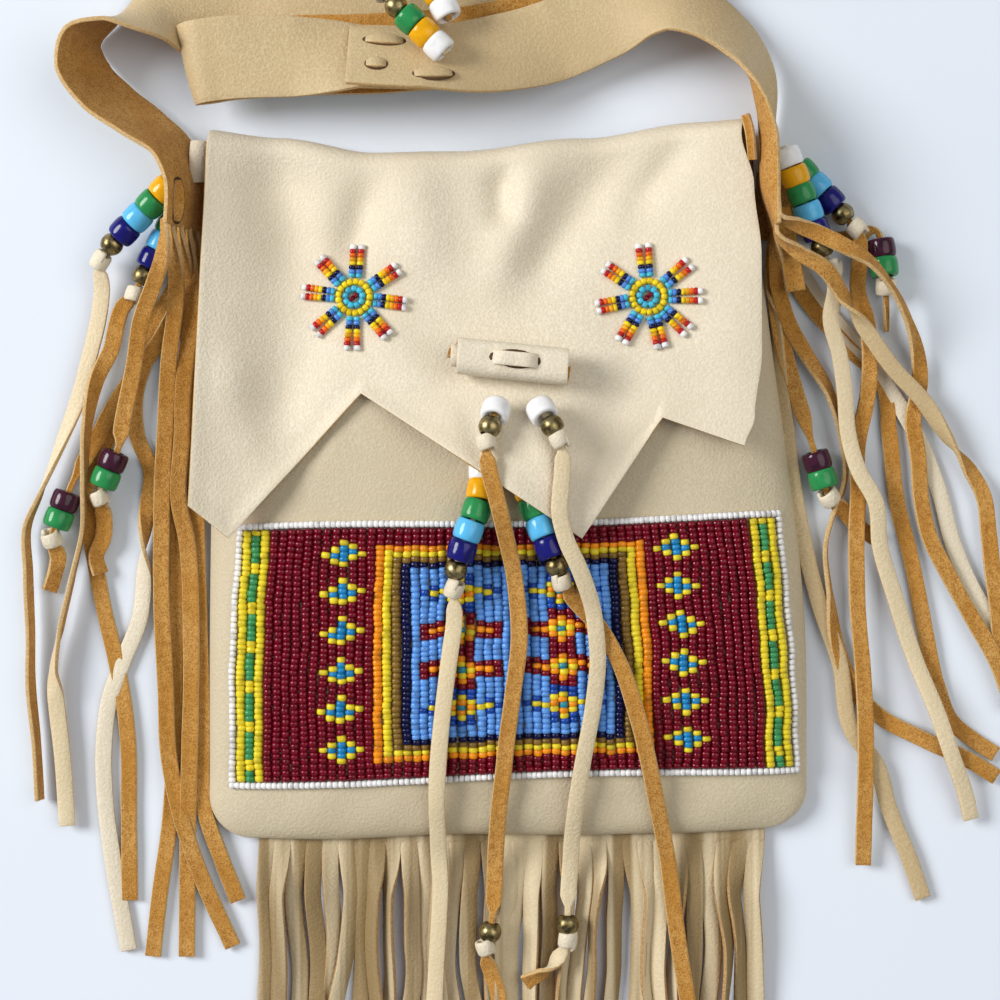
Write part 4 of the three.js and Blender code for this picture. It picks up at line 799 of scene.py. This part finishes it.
def split_end(strips, end, shift, ranks, tuck):
    """Tails that leave the strap's end side by side, as the slits cut them, and then fall flat.

    ranks gives each tail's place from the strap's upper edge, tuck how far the roots lie behind the strap.
    """
    over = 1 if end.side.z > 0 else -1
    lean = abs(math.degrees(math.atan2(end.side.z, end.side.xy.length))) - 180
    behind = end.normal * (-tuck if end.normal.z > 0 else tuck)
    split = []
    for rank, rows in zip(ranks, strips):
        share = 0.8 - 1.6 * rank / (len(strips) - 1)
        root = end.at - shift + end.side * (over * share * STRAP_WIDTH / 2)
        low = root.lerp(Vector(rows[0][:3]), 0.4)
        top = max(TAIL_ROOT_Y, rows[0][1] + 8)
        under = root + behind * 0.6
        root = root + behind
        first = [[root.x, top, root.z, lean, "slit"], [under.x, top - TAIL_ROOT, under.z, lean],
                 [low.x, (top - TAIL_ROOT + rows[0][1]) / 2, low.z, mix(lean, -180, 0.6)]]
        split.append(first + [[x, y, z, turn - 360, *tags] for x, y, z, turn, *tags in rows])
    return split


def cut_strips(name, strips, shift, broad, broad_width, pairs, slot, smooth_side=HIDE, bend=None):
    """A broad strip of hide whose end is cut into narrow ones, some with two beads and a knot."""
    bm = bmesh.new()
    broad_steps, _ = trace(broad, broad_width, shift)
    if name in STRAP_ENDS:
        end = min(broad_steps, key=lambda step: step.at.y)
        strips = split_end(strips, end, shift, *STRAP_ENDS[name])
        broad_steps = [step for step in broad_steps if step.at.y > STRAP_END_Y]
    strip(bm, broad_steps, seed=1.7, columns=12, cup=0.5, ragged=0.02, bend=bend)
    ties = bmesh.new()
    area = length_of(broad_steps) * broad_width * MM
    longest = 0
    for k, rows in enumerate(strips):
        steps, at_row = trace(rows, LACE_WIDTH, shift)
        strip(bm, steps, seed=k + len(name))
        area += length_of(steps) * LACE_WIDTH * MM
        longest = max(longest, length_of(steps))
        for i, row in enumerate(rows):
            step = steps[at_row[i]]
            if row[4:] == ["knot"]:
                knot(ties, step, 0.5 - 0.3 * k, 0.8)
            elif row[4:] == ["pair"]:
                node = pairs.pop(0)
                beads(node + "_pair", ["purple", "green"], step.stand(), node)
    made = thicken(piece(name + "_strip", bm, sides(smooth_side), [name], slot))
    if ties.verts:
        piece(name + "_knots", ties, [HIDE], slot="suede")
    long = length_of(broad_steps) + longest


def right_bend(step):
    """The right strap end is folded along its middle, with both edges to the outside."""
    return RIGHT_FOLD * smoothstep(step.at.x, 66, 72) * smoothstep(step.at.y, 70, 86)


def left_bend(step):
    bow = LEFT_FOLD * smoothstep(step.at.x, -100, -90) * (1 - smoothstep(step.at.y, 92, 104))
    return bow * smoothstep(step.at.y, 70, 86)


cut_strips("strap_left", TAILS_LEFT, LEFT_SHIFT, STRAP_LEFT, STRAP_WIDTH,
           ["tail_beads_left_1", "tail_beads_left_2"], "suede", STRAP_HIDE, left_bend)
cut_strips("strap_right", TAILS_RIGHT, RIGHT_SHIFT, STRAP_RIGHT, STRAP_WIDTH, ["tail_beads_right_1"], "hide",
           STRAP_HIDE, right_bend)
SIDE_HEADER = 9
cut_strips("side_fringe_left", SIDE_FRINGE_LEFT, LEFT_SHIFT, route([-83.4, 90, 0.65, 180], [-83.4, 71]),
           SIDE_HEADER, [], "suede")
cut_strips("side_fringe_right", SIDE_FRINGE_RIGHT, RIGHT_SHIFT, route([74.6, 90, 0.65, 180], [74.6, 71]),
           SIDE_HEADER, ["tail_beads_right_2"], "suede")


# Stitches of lace through the strap: each comes out of one slit and goes back into the next
def slit(name, place, long, wide, tall):
    """A dark oval round a stitch: painted shadow of the gap where the lace goes into the strap."""
    bm = bmesh.new()
    made = bmesh.ops.create_uvsphere(bm, u_segments=20, v_segments=8, radius=1)["verts"]
    bmesh.ops.transform(bm, matrix=place @ Matrix.Diagonal((long, wide, tall, 1)), verts=made)
    piece(name, bm, [SLIT_SHADOW])


def stitch(name, rows, shift, x, y, long, stands_for=(), bend=None, suede_out=False):
    """A stitch that follows the strap where the strap lies over a place of the plan."""
    steps, _ = trace(rows, STRAP_WIDTH, shift)

    def over(pair):
        step, share = pair
        return ((step.at + step.side * (share * STRAP_WIDTH / 2)).xy - Vector((x, y)) - shift.xy).length

    step, share = min(((step, k / 20) for step in steps for k in range(-18, 19)), key=over)
    up = step.normal if step.normal.z > 0 else -step.normal
    up = (up + Vector((0, 0, 0.7 if suede_out else 0))).normalized()
    bow = (0.5 + (bend(step) if bend else 0)) * (1 - share * share) - 0.25
    lift = LEATHER / 2 + (0.5 if suede_out else 0)
    foot = step.at + step.side * (share * STRAP_WIDTH / 2) + step.normal * bow + up * lift
    outward = -up if suede_out else up
    sideways = outward.cross(step.along)
    heights = [(-0.5, -1.3), (-0.43, -0.1), (-0.25, 0.4), (0, 0.55), (0.25, 0.4), (0.43, -0.1), (0.5, -1.3)]
    line = [Step(foot + step.along * (long * q) + up * rise, step.along, sideways, outward,
                 STITCH_WIDTH * (1 - 2 * q * q)) for q, rise in heights]
    hide_strip(name, line, STRAP_HIDE, stands_for, seed=long + x, cup=0.1, ragged=0.1)
    axes = Matrix((step.along, up.cross(step.along), up)).transposed().to_4x4()
    # A painted shadow round the stitch, lying just on the strap
    slit(name + "_slit_shadow", Matrix.Translation(foot) @ axes, long / 2 + 0.7, STITCH_WIDTH / 2 + 0.7, 0.42)


SPLICE_STITCHES = [(-30.6, 122.8, 10.6), (-33.6, 115.6, 5), (-17.8, 112.8, 10.6)]
for number, (x, y, long) in enumerate(SPLICE_STITCHES, 1):
    node = f"splice_stitch_{number}"
    stitch(node + "_lace", STRAP_RIGHT, RIGHT_SHIFT, x, y, long, [node])
# Ends of lace beside the flap's top corners, and a short end beside the right lace beads
SHORT_ENDS = {
    "corner_lace_right": ([[64.6, 103.2, 14, 200], [65.4, 99, 16.5, 205], [66.4, 91, 15.5, 215]], 2.3),
    "corner_lace_left": ([[-82.6, 97.2, 8, 0], [-82.8, 93, 9, -10], [-82.6, 86, 8, -20]], 4.6),
    "short_end_right": (route([74.6, 79, 10, 180], [76.2, 70, 10.4], [77.8, 62, 10], [78.7, 56.5, 9]), 5.4),
}
for name, (rows, wide) in SHORT_ENDS.items():
    hide_strip(name, trace(rows, wide)[0], HIDE, seed=rows[0][0], cup=0.8)
stitch("strap_left_stitch", STRAP_LEFT[:3], LEFT_SHIFT, -88.2, 79.3, 11.4, (), left_bend, True)


# Bottom fringe: each strip waves and twists in its own way
fringe_rng = random.Random(5)
FRINGE_STRIPS, FRINGE_STRIP_WIDTH = 32, 4.6
FRINGE_WIDTH, FRINGE_DROP, FRINGE_SEGMENTS = 138, 96.7, 14
FRINGE_MIDDLE, FRINGE_TOP, SEAM_Z = 2, BOTTOM_Y - 2.6, 2.1


def fringe_rows(i):
    x = FRINGE_MIDDLE - FRINGE_WIDTH / 2 + (i + 0.5) * FRINGE_WIDTH / FRINGE_STRIPS
    own, reach = fringe_rng.uniform(-0.9, 0.9), fringe_rng.uniform(4, 8)
    twist, start = fringe_rng.uniform(10, 40), fringe_rng.uniform(0, 6.3)
    lean = fringe_rng.choice((-1, 1)) * fringe_rng.uniform(6, 38)
    rows = [[x, BOTTOM_Y + 3.5, SEAM_Z, 0], [x, FRINGE_TOP, SEAM_Z, 0]]
    for n in range(1, FRINGE_SEGMENTS + 1):
        share = n / FRINGE_SEGMENTS
        ease = smoothstep(share, 0, 0.16)
        sway = ease * (4.2 * ripple(i * 0.42, 3.1 * share, 1, 6.6) + own * math.sin(start + reach * share))
        turn = ease * (lean + twist * math.sin(start + 0.8 * reach * share))
        tall = LACE_WIDTH / 2 * abs(math.sin(math.radians(turn)))
        lie = mix(SEAM_Z, 0.8, smoothstep(share, 0, 0.5)) + 1.1 * (i % 2) * ease
        rows.append([x + sway, FRINGE_TOP - share * FRINGE_DROP, lie + tall, turn])
    return rows


bm = bmesh.new()
header = [[x, BOTTOM_Y + 0.6, SEAM_Z, 0] for x in (-67, FRINGE_MIDDLE, 71)]
strip(bm, trace(header, 6.4, pace=3)[0], seed=4.4, ragged=0)
for i in range(FRINGE_STRIPS):
    strip(bm, trace(fringe_rows(i), FRINGE_STRIP_WIDTH)[0], seed=i * 1.3, columns=3)
# The strips' hide carries painted shade, some strips darker than others
fringe = thicken(piece("bottom_fringe_strips", bm, sides(FRINGE_HIDE_PAINTED_SHADE, FRINGE_EDGE), ["bottom_fringe"]))


# The pouch: back and flap in one hide, and the puffed front
BACK_ROWS, BEND_ROWS, FLAP_ROWS = 44, 14, 84
BEND_DEPTH = 4.4
HIDE_COLUMNS = sum(FLAP_COLUMNS)
HEM = [(-80, -0.4), (-50, -1.0), (-10, 0.5), (20, 0.2), (48, 0.8), (80, 2.4)]


def hem(x, y):
    """The bottom seam isn't quite straight."""
    return chain(x, HEM) * (1 - smoothstep(y, BOTTOM_Y, BOTTOM_Y + 26))


def hide_place(column, row):
    u, edge_y = flap_column(HIDE_COLUMNS - column)
    back_x = pouch_centre(FOLD_Y) + pouch_half(FOLD_Y) * (2 * u - 1)
    top_x = mix(FLAP_TOP_LEFT, FLAP_TOP_RIGHT, u)
    sag = chain(top_x, TOP_SAG)
    if row <= BACK_ROWS:
        y = mix(BOTTOM_Y, FOLD_Y, (row / BACK_ROWS) ** 1.3)
        x = pouch_centre(y) + pouch_half(y) * (2 * u - 1)
        return Vector((x, y + sag * smoothstep(y, 40, FOLD_Y) + hem(x, y), LEATHER / 2))
    if row <= BACK_ROWS + BEND_ROWS:
        share = (row - BACK_ROWS) / BEND_ROWS
        turn = math.pi * (share - 0.5)
        x = mix(back_x, top_x, smoothstep(share, 0, 1))
        rise = (flap_z(x, FOLD_Y) - LEATHER) / 2
        z = LEATHER / 2 + rise + rise * math.sin(turn)
        return Vector((x, FOLD_Y + sag + BEND_DEPTH * math.cos(turn), z))
    s = (row - BACK_ROWS - BEND_ROWS) / FLAP_ROWS
    y = mix(FOLD_Y, edge_y, s)
    x = mix(*flap_sides(y), u)
    curl = 0.9 * smoothstep(s, 0.9, 1) ** 2
    return Vector((x, y + sag * smoothstep(y, 45, FOLD_Y), flap_z(x, y) - LEATHER / 2 + curl))


hide = hide_sheet("back_and_flap_hide", HIDE_COLUMNS, BACK_ROWS + BEND_ROWS + FLAP_ROWS, hide_place, HIDE,
                  "back_and_flap")

FRONT_COLUMNS, FRONT_ROWS = 96, 96


def front_place(column, row):
    y = BOTTOM_Y + (MOUTH_Y - BOTTOM_Y) * (1 - math.cos(math.pi / 2 * row / FRONT_ROWS))
    x = pouch_centre(y) + pouch_half(y) * math.sin(math.pi / 2 * (2 * column / FRONT_COLUMNS - 1))
    top = min(front_z(x, y), flap_z(x, y) - LEATHER - 0.4) if y > -12 else front_z(x, y)
    return Vector((x, y + hem(x, y), top - LEATHER / 2))


front = hide_sheet("front_panel_hide", FRONT_COLUMNS, FRONT_ROWS, front_place, FRONT_HIDE, "front_panel")


# Seed beads
def seed_template(slot):
    """A small barrel of one colour, its hole along +Y, one unit from the middle to each side."""
    bm = bmesh.new()
    bmesh.ops.create_uvsphere(bm, u_segments=8, v_segments=5, radius=1)
    for vert in bm.verts:
        tall = abs(vert.co.z)
        flat = Vector((vert.co.x, vert.co.y, 0))
        out = 0 if tall > 0.99 else 0.74 if tall > 0.5 else 1
        level = 0.88 if tall > 0.99 else 0.96 if tall > 0.5 else 0.46
        level = math.copysign(level, vert.co.z)
        vert.co = flat.normalized() * out if out else flat
        vert.co.z = level
    bmesh.ops.rotate(bm, matrix=Matrix.Rotation(math.pi / 2, 3, "X"), verts=bm.verts)
    for face in bm.faces:
        face.material_index = slot
    return mesh_from("seed_template", bm)


SEED_TEMPLATES = {name: seed_template(slot) for slot, name in enumerate(SEED)}
rng = random.Random(11)


def strand(bm, placed):
    """Seed beads given as (colour, place, direction of the hole, up, half width, half length)."""
    part = bmesh.new()
    for colour, at, along, up, wide, long in placed:
        fresh = bmesh.new()
        fresh.from_mesh(SEED_TEMPLATES[colour])
        along = (along + Vector((rng.gauss(0, 0.05), rng.gauss(0, 0.05), rng.gauss(0, 0.04)))).normalized()
        side = along.cross(up).normalized()
        axes = Matrix((side, along, side.cross(along))).transposed().to_4x4()
        fat = rng.uniform(0.94, 1.04)
        size = Matrix.Diagonal((wide * fat, long * rng.uniform(0.92, 1.06), wide * 0.9 * fat, 1))
        bmesh.ops.transform(fresh, matrix=Matrix.Translation(at) @ axes @ size, verts=fresh.verts)
        one = mesh_from("one_seed", fresh)
        part.from_mesh(one)
        bpy.data.meshes.remove(one)
    whole = mesh_from("one_strand", part)
    bm.from_mesh(whole)
    bpy.data.meshes.remove(whole)


def beadwork(name, strands, slot, stands_for=()):
    """A piece of sewn seed beads, strand by strand."""
    bm = bmesh.new()
    for placed in strands:
        strand(bm, placed)
    piece(name, bm, SEED.values(), stands_for, slot)


def up_from(height, x, y):
    dx = height(x + 0.5, y) - height(x - 0.5, y)
    dy = height(x, y + 0.5) - height(x, y - 0.5)
    return Vector((-dx, -dy, 1)).normalized()


PANEL_CORNERS = [Vector(corner) for corner in ((-71.8, -7.0), (74.2, -3.4), (-74.6, -77.8), (80.2, -73.4))]
PANEL_COLUMNS, PANEL_ROWS, PATTERN_ROWS = 60, 45, 7
PANEL_WIDTH, PANEL_HEIGHT, PANEL_LIFT = 147, 70, 0.95
SEED_HALF_WIDTH, SEED_HALF_LENGTH = 1.3, 0.85
WHITE_EDGE = 1.9


def panel_place(s, t):
    """A place on the beaded panel: s from the left edge, t from the top edge, 0 to 1."""
    top_left, top_right, low_left, low_right = PANEL_CORNERS
    x, y = top_left.lerp(top_right, s).lerp(low_left.lerp(low_right, s), t)
    x += 1.1 * math.sin(math.pi * t) * (s - 0.5) * 2 + 0.7 * ripple(x, y, 11, 4.2)
    y += 0.9 * math.sin(2.2 * math.pi * s + 0.6) * (0.5 - t) * 1.4
    return Vector((x, y, front_z(x, y) + PANEL_LIFT))


def panel_colour(column, row):
    """Frames and diamonds, the same from both sides. Columns and rows count from the white edge."""
    inward = min(column, PANEL_COLUMNS + 1 - column)
    from_end = min(row, PANEL_ROWS + 1 - row)
    if inward in (1, 3):
        return "yellow"
    if inward == 2:
        return "yellow" if row % PATTERN_ROWS in (0, 1) else "green"
    if 10 <= inward <= 14 and from_end > 2:
        apart = abs(inward - 12) + abs((row - 5 + 3) % PATTERN_ROWS - 3)
        return "yellow" if apart == 2 else "petal" if apart < 2 else "burgundy"
    frame_number = min(from_end - 3, inward - 15)
    if frame_number < 5:
        return ["burgundy", "orange", "yellow", "gold", "navy"][max(0, frame_number)]
    return motif_colour(inward - 25, row - 12)


def motif_colour(dx, down):
    """Four cross-bars one above the other, each with a small diamond in its middle."""
    bar = min(3, max(0, round(down / PATTERN_ROWS)))
    dx, dy = abs(dx), abs(down - PATTERN_ROWS * bar)
    outer = bar in (0, 3)
    if dx + dy == 0:
        return "teal"
    if dx + dy <= 2 and dx < 2:
        near = dx + dy == 1
        return "orange" if near == outer else "yellow"
    if dx <= 1 and dy <= 3:
        return "blue" if outer else "burgundy"
    if 2 <= dx <= 4 and dy == 0:
        return ("yellow" if dx < 4 else "blue") if outer else ("orange" if dx < 4 else "burgundy")
    if 2 <= dx <= 4 and dy == 1:
        return ("blue" if dx == 3 else "sky") if outer else "burgundy"
    return "sky"


def panel_strand(column):
    """One upright strand; its beads aren't quite alike, so its rows don't line up with the next strand's."""
    lengths = [rng.uniform(0.86, 1.14) for _ in range(PANEL_ROWS)]
    whole = sum(lengths)
    done = 0
    edge = WHITE_EDGE / PANEL_HEIGHT
    placed = []
    for row, length in enumerate(lengths, 1):
        t = edge + (1 - 2 * edge) * (done + length / 2) / whole
        done += length
        s = (WHITE_EDGE + (column - 0.5) * (PANEL_WIDTH - 2 * WHITE_EDGE) / PANEL_COLUMNS) / PANEL_WIDTH
        s += rng.gauss(0, 0.0006)
        at = panel_place(s, t)
        along = panel_place(s, t + 0.01) - panel_place(s, t - 0.01)
        up = up_from(front_z, at.x, at.y)
        placed.append((panel_colour(column, row), at, along, up, SEED_HALF_WIDTH, SEED_HALF_LENGTH * length))
    return placed


panel = (panel_strand(column) for column in range(1, PANEL_COLUMNS + 1))
beadwork("beadwork_strands", panel, "seed_beads", ["beadwork_panel"])


def white_edge():
    placed = []
    for count, line in ((104, lambda q: (q, 0.011)), (104, lambda q: (q, 0.989)),
                        (46, lambda q: (0.0055, q)), (46, lambda q: (0.9945, q))):
        for k in range(count):
            q = (k + 0.5) / count
            at = panel_place(*line(q))
            along = panel_place(*line(q + 0.004)) - panel_place(*line(q - 0.004))
            placed.append(("white", at, along, up_from(front_z, at.x, at.y), 1.0, 0.76))
    return placed


beadwork("beadwork_white_edge", [white_edge()], "seed_beads")

ROSETTE_LIFT = 0.85
RAY_COLOURS = ["turquoise", "medium", "navy", "lemon", "amber", "rust", "red", "white"]
ROSETTES = {
    "rosette_left": (-40.4, 54.5, [3, 57, 98, 139, 182, 229, 277, 318]),
    "rosette_right": (38.5, 54.5, [355, 51, 90, 132, 166, 211, 258, 305]),
}


def rosette(x0, y0, angles):
    """Two rings of beads round a red middle, with double-strand rays."""
    placed = []

    def put(colour, radius, angle, aside, wide, long, inward):
        out = Vector((math.sin(angle), math.cos(angle)))
        x = x0 + out.x * radius + out.y * aside
        y = y0 + out.y * radius - out.x * aside
        run = out if inward else Vector((out.y, -out.x))
        at = Vector((x, y, flap_z(x, y) + ROSETTE_LIFT))
        placed.append((colour, at, run.to_3d(), up_from(flap_z, x, y), wide, long))

    for angle in (0.9, 0.9 + math.pi):
        put("burgundy", 0.72, angle, 0, 0.8, 0.66, False)
    for k in range(9):
        put("turquoise", 2.3, 2 * math.pi * k / 9, 0, 0.92, 0.78, False)
    for k in range(17):
        put("lemon", 4.25, 2 * math.pi * (k + 0.3) / 17, 0, 0.92, 0.78, False)
    for degrees in angles:
        spread = rng.uniform(0.95, 1.5)
        for side in (-1, 1):
            for k, colour in enumerate(RAY_COLOURS):
                radius = 5.9 + 1.12 * k
                aside = side * (1.0 + 0.3 * (spread - 0.95) * k / 3)
                put(colour, radius, math.radians(degrees), aside, 0.98, 0.6 if k < 7 else 0.72, True)
    return placed


for node, (x0, y0, angles) in ROSETTES.items():
    beadwork(node + "_strands", [rosette(x0, y0, angles)], "rosette_beads", [node])


# Toggle: a strip of hide rolled up flat, held by one stitch of lace
TOGGLE_LENGTH, TOGGLE_WIDTH, ROLL_TURNS, ROLL_PITCH, ROLL_START = 33, 10.6, 2.1, 1.35, 0.9
ROLL_COLUMNS, ROLL_ROWS, STITCH_X = 72, 30, 1.6
TOGGLE_PLACE = Matrix.Translation((1.2, 37.2, 0)) @ Matrix.Rotation(math.radians(-6), 4, "Z")
toggle_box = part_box("toggle")
TOGGLE_FOOT, TOGGLE_TOP = toggle_box[0][2] / MM, toggle_box[1][2] / MM


def toggle_place(column, row):
    turn = ROLL_TURNS * column / ROLL_COLUMNS
    radius = ROLL_PITCH * turn + ROLL_START
    angle = 2 * math.pi * (turn - ROLL_TURNS) - math.pi / 2
    tall = (TOGGLE_TOP - TOGGLE_FOOT - LEATHER) / 2 / (ROLL_PITCH * (ROLL_TURNS - 0.5) + ROLL_START) * 0.94
    wide = (TOGGLE_WIDTH - LEATHER) / 2 / (ROLL_PITCH * (ROLL_TURNS - 0.25) + ROLL_START)
    y = wide * radius * soft_power(math.cos(angle), 0.62)
    z = tall * radius * soft_power(math.sin(angle), 0.72)
    x = (row / ROLL_ROWS * 2 - 1) * (TOGGLE_LENGTH / 2 - 1.8) + 3.6 * turn / ROLL_TURNS - 1.8
    dent = -0.5 * math.exp(-((abs(x - STITCH_X) - 6.2) / 1.6) ** 2) * smoothstep(z, 0, 3)
    dent *= math.exp(-((y / 2.4) ** 2))
    slack = 0.22 * ripple(x, y + 5 * turn, 6, 21.0)
    middle = (TOGGLE_FOOT + TOGGLE_TOP) / 2
    return TOGGLE_PLACE @ Vector((x, y, middle + z + dent + slack))


hide_sheet("toggle_roll", ROLL_COLUMNS, ROLL_ROWS, toggle_place, HIDE, "toggle")
TOGGLE_STITCH = TOGGLE_PLACE @ Matrix.Translation((STITCH_X, 0, TOGGLE_TOP))
stitch_line = [(-5.9, -3), (-5.7, -1), (-4.4, 0.3), (0, 0.7), (4.4, 0.3), (5.7, -1), (5.9, -3)]
turned_rows = [[*(TOGGLE_STITCH @ Vector((x, 0, z))), 0] for x, z in stitch_line]
stitch_steps, _ = trace(turned_rows, STITCH_WIDTH + 0.3, pace=0.6)
hide_strip("toggle_stitch", stitch_steps, HIDE, ["toggle_lace"], seed=9.1)
# Painted shadow round the toggle's stitch
slit("toggle_slit_shadow", TOGGLE_STITCH @ Matrix.Translation((0, 0, -0.6)), 7.0, 2.6, 0.8)


# Table, light and camera
def floor_look(place):
    return {"Base Color": place.noise(3, 2).between(0.3, 0.7).mix(rgb(222, 231, 244), rgb(228, 236, 249))}


bm = bmesh.new()
bmesh.ops.create_grid(bm, x_segments=1, y_segments=1, size=1.5)
table = object_from("table", mesh_from("table", bm))
table.data.materials.append(material("table", floor_look, Roughness=0.8, Specular_IOR_Level=0.2))
table.location.z = -0.0002

world = bpy.data.worlds.new("room")
bpy.context.scene.world = world
world.use_nodes = True
sky = world.node_tree.nodes["Background"].inputs
sky["Color"].default_value = (0.93, 0.96, 1.0, 1)
sky["Strength"].default_value = 0.28


def window(name, place, size, watts, colour):
    """A round area light that looks at the middle of the bag."""
    light = bpy.data.lights.new(name, "AREA")
    light.shape = "DISK"
    light.size = size
    light.energy = watts
    light.color = colour
    made = object_from(name, light)
    made.location = place
    made.rotation_euler = (-Vector(place)).to_track_quat("-Z", "Y").to_euler()


window("window_left", (-1.9, 0.6, 1.4), 1.2, 58.0, (1.0, 0.985, 0.96))
window("ceiling", (0.9, 0.2, 1.5), 1.6, 11.0, (1.0, 0.95, 0.85))

camera = bpy.data.cameras.new("camera")
camera.lens = 80
camera.sensor_width = 36
camera_object = object_from("camera", camera)
camera_object.location = (-0.0012, 0, 0.61)
bpy.context.scene.camera = camera_object
bpy.context.scene.view_settings.view_transform = "Standard"
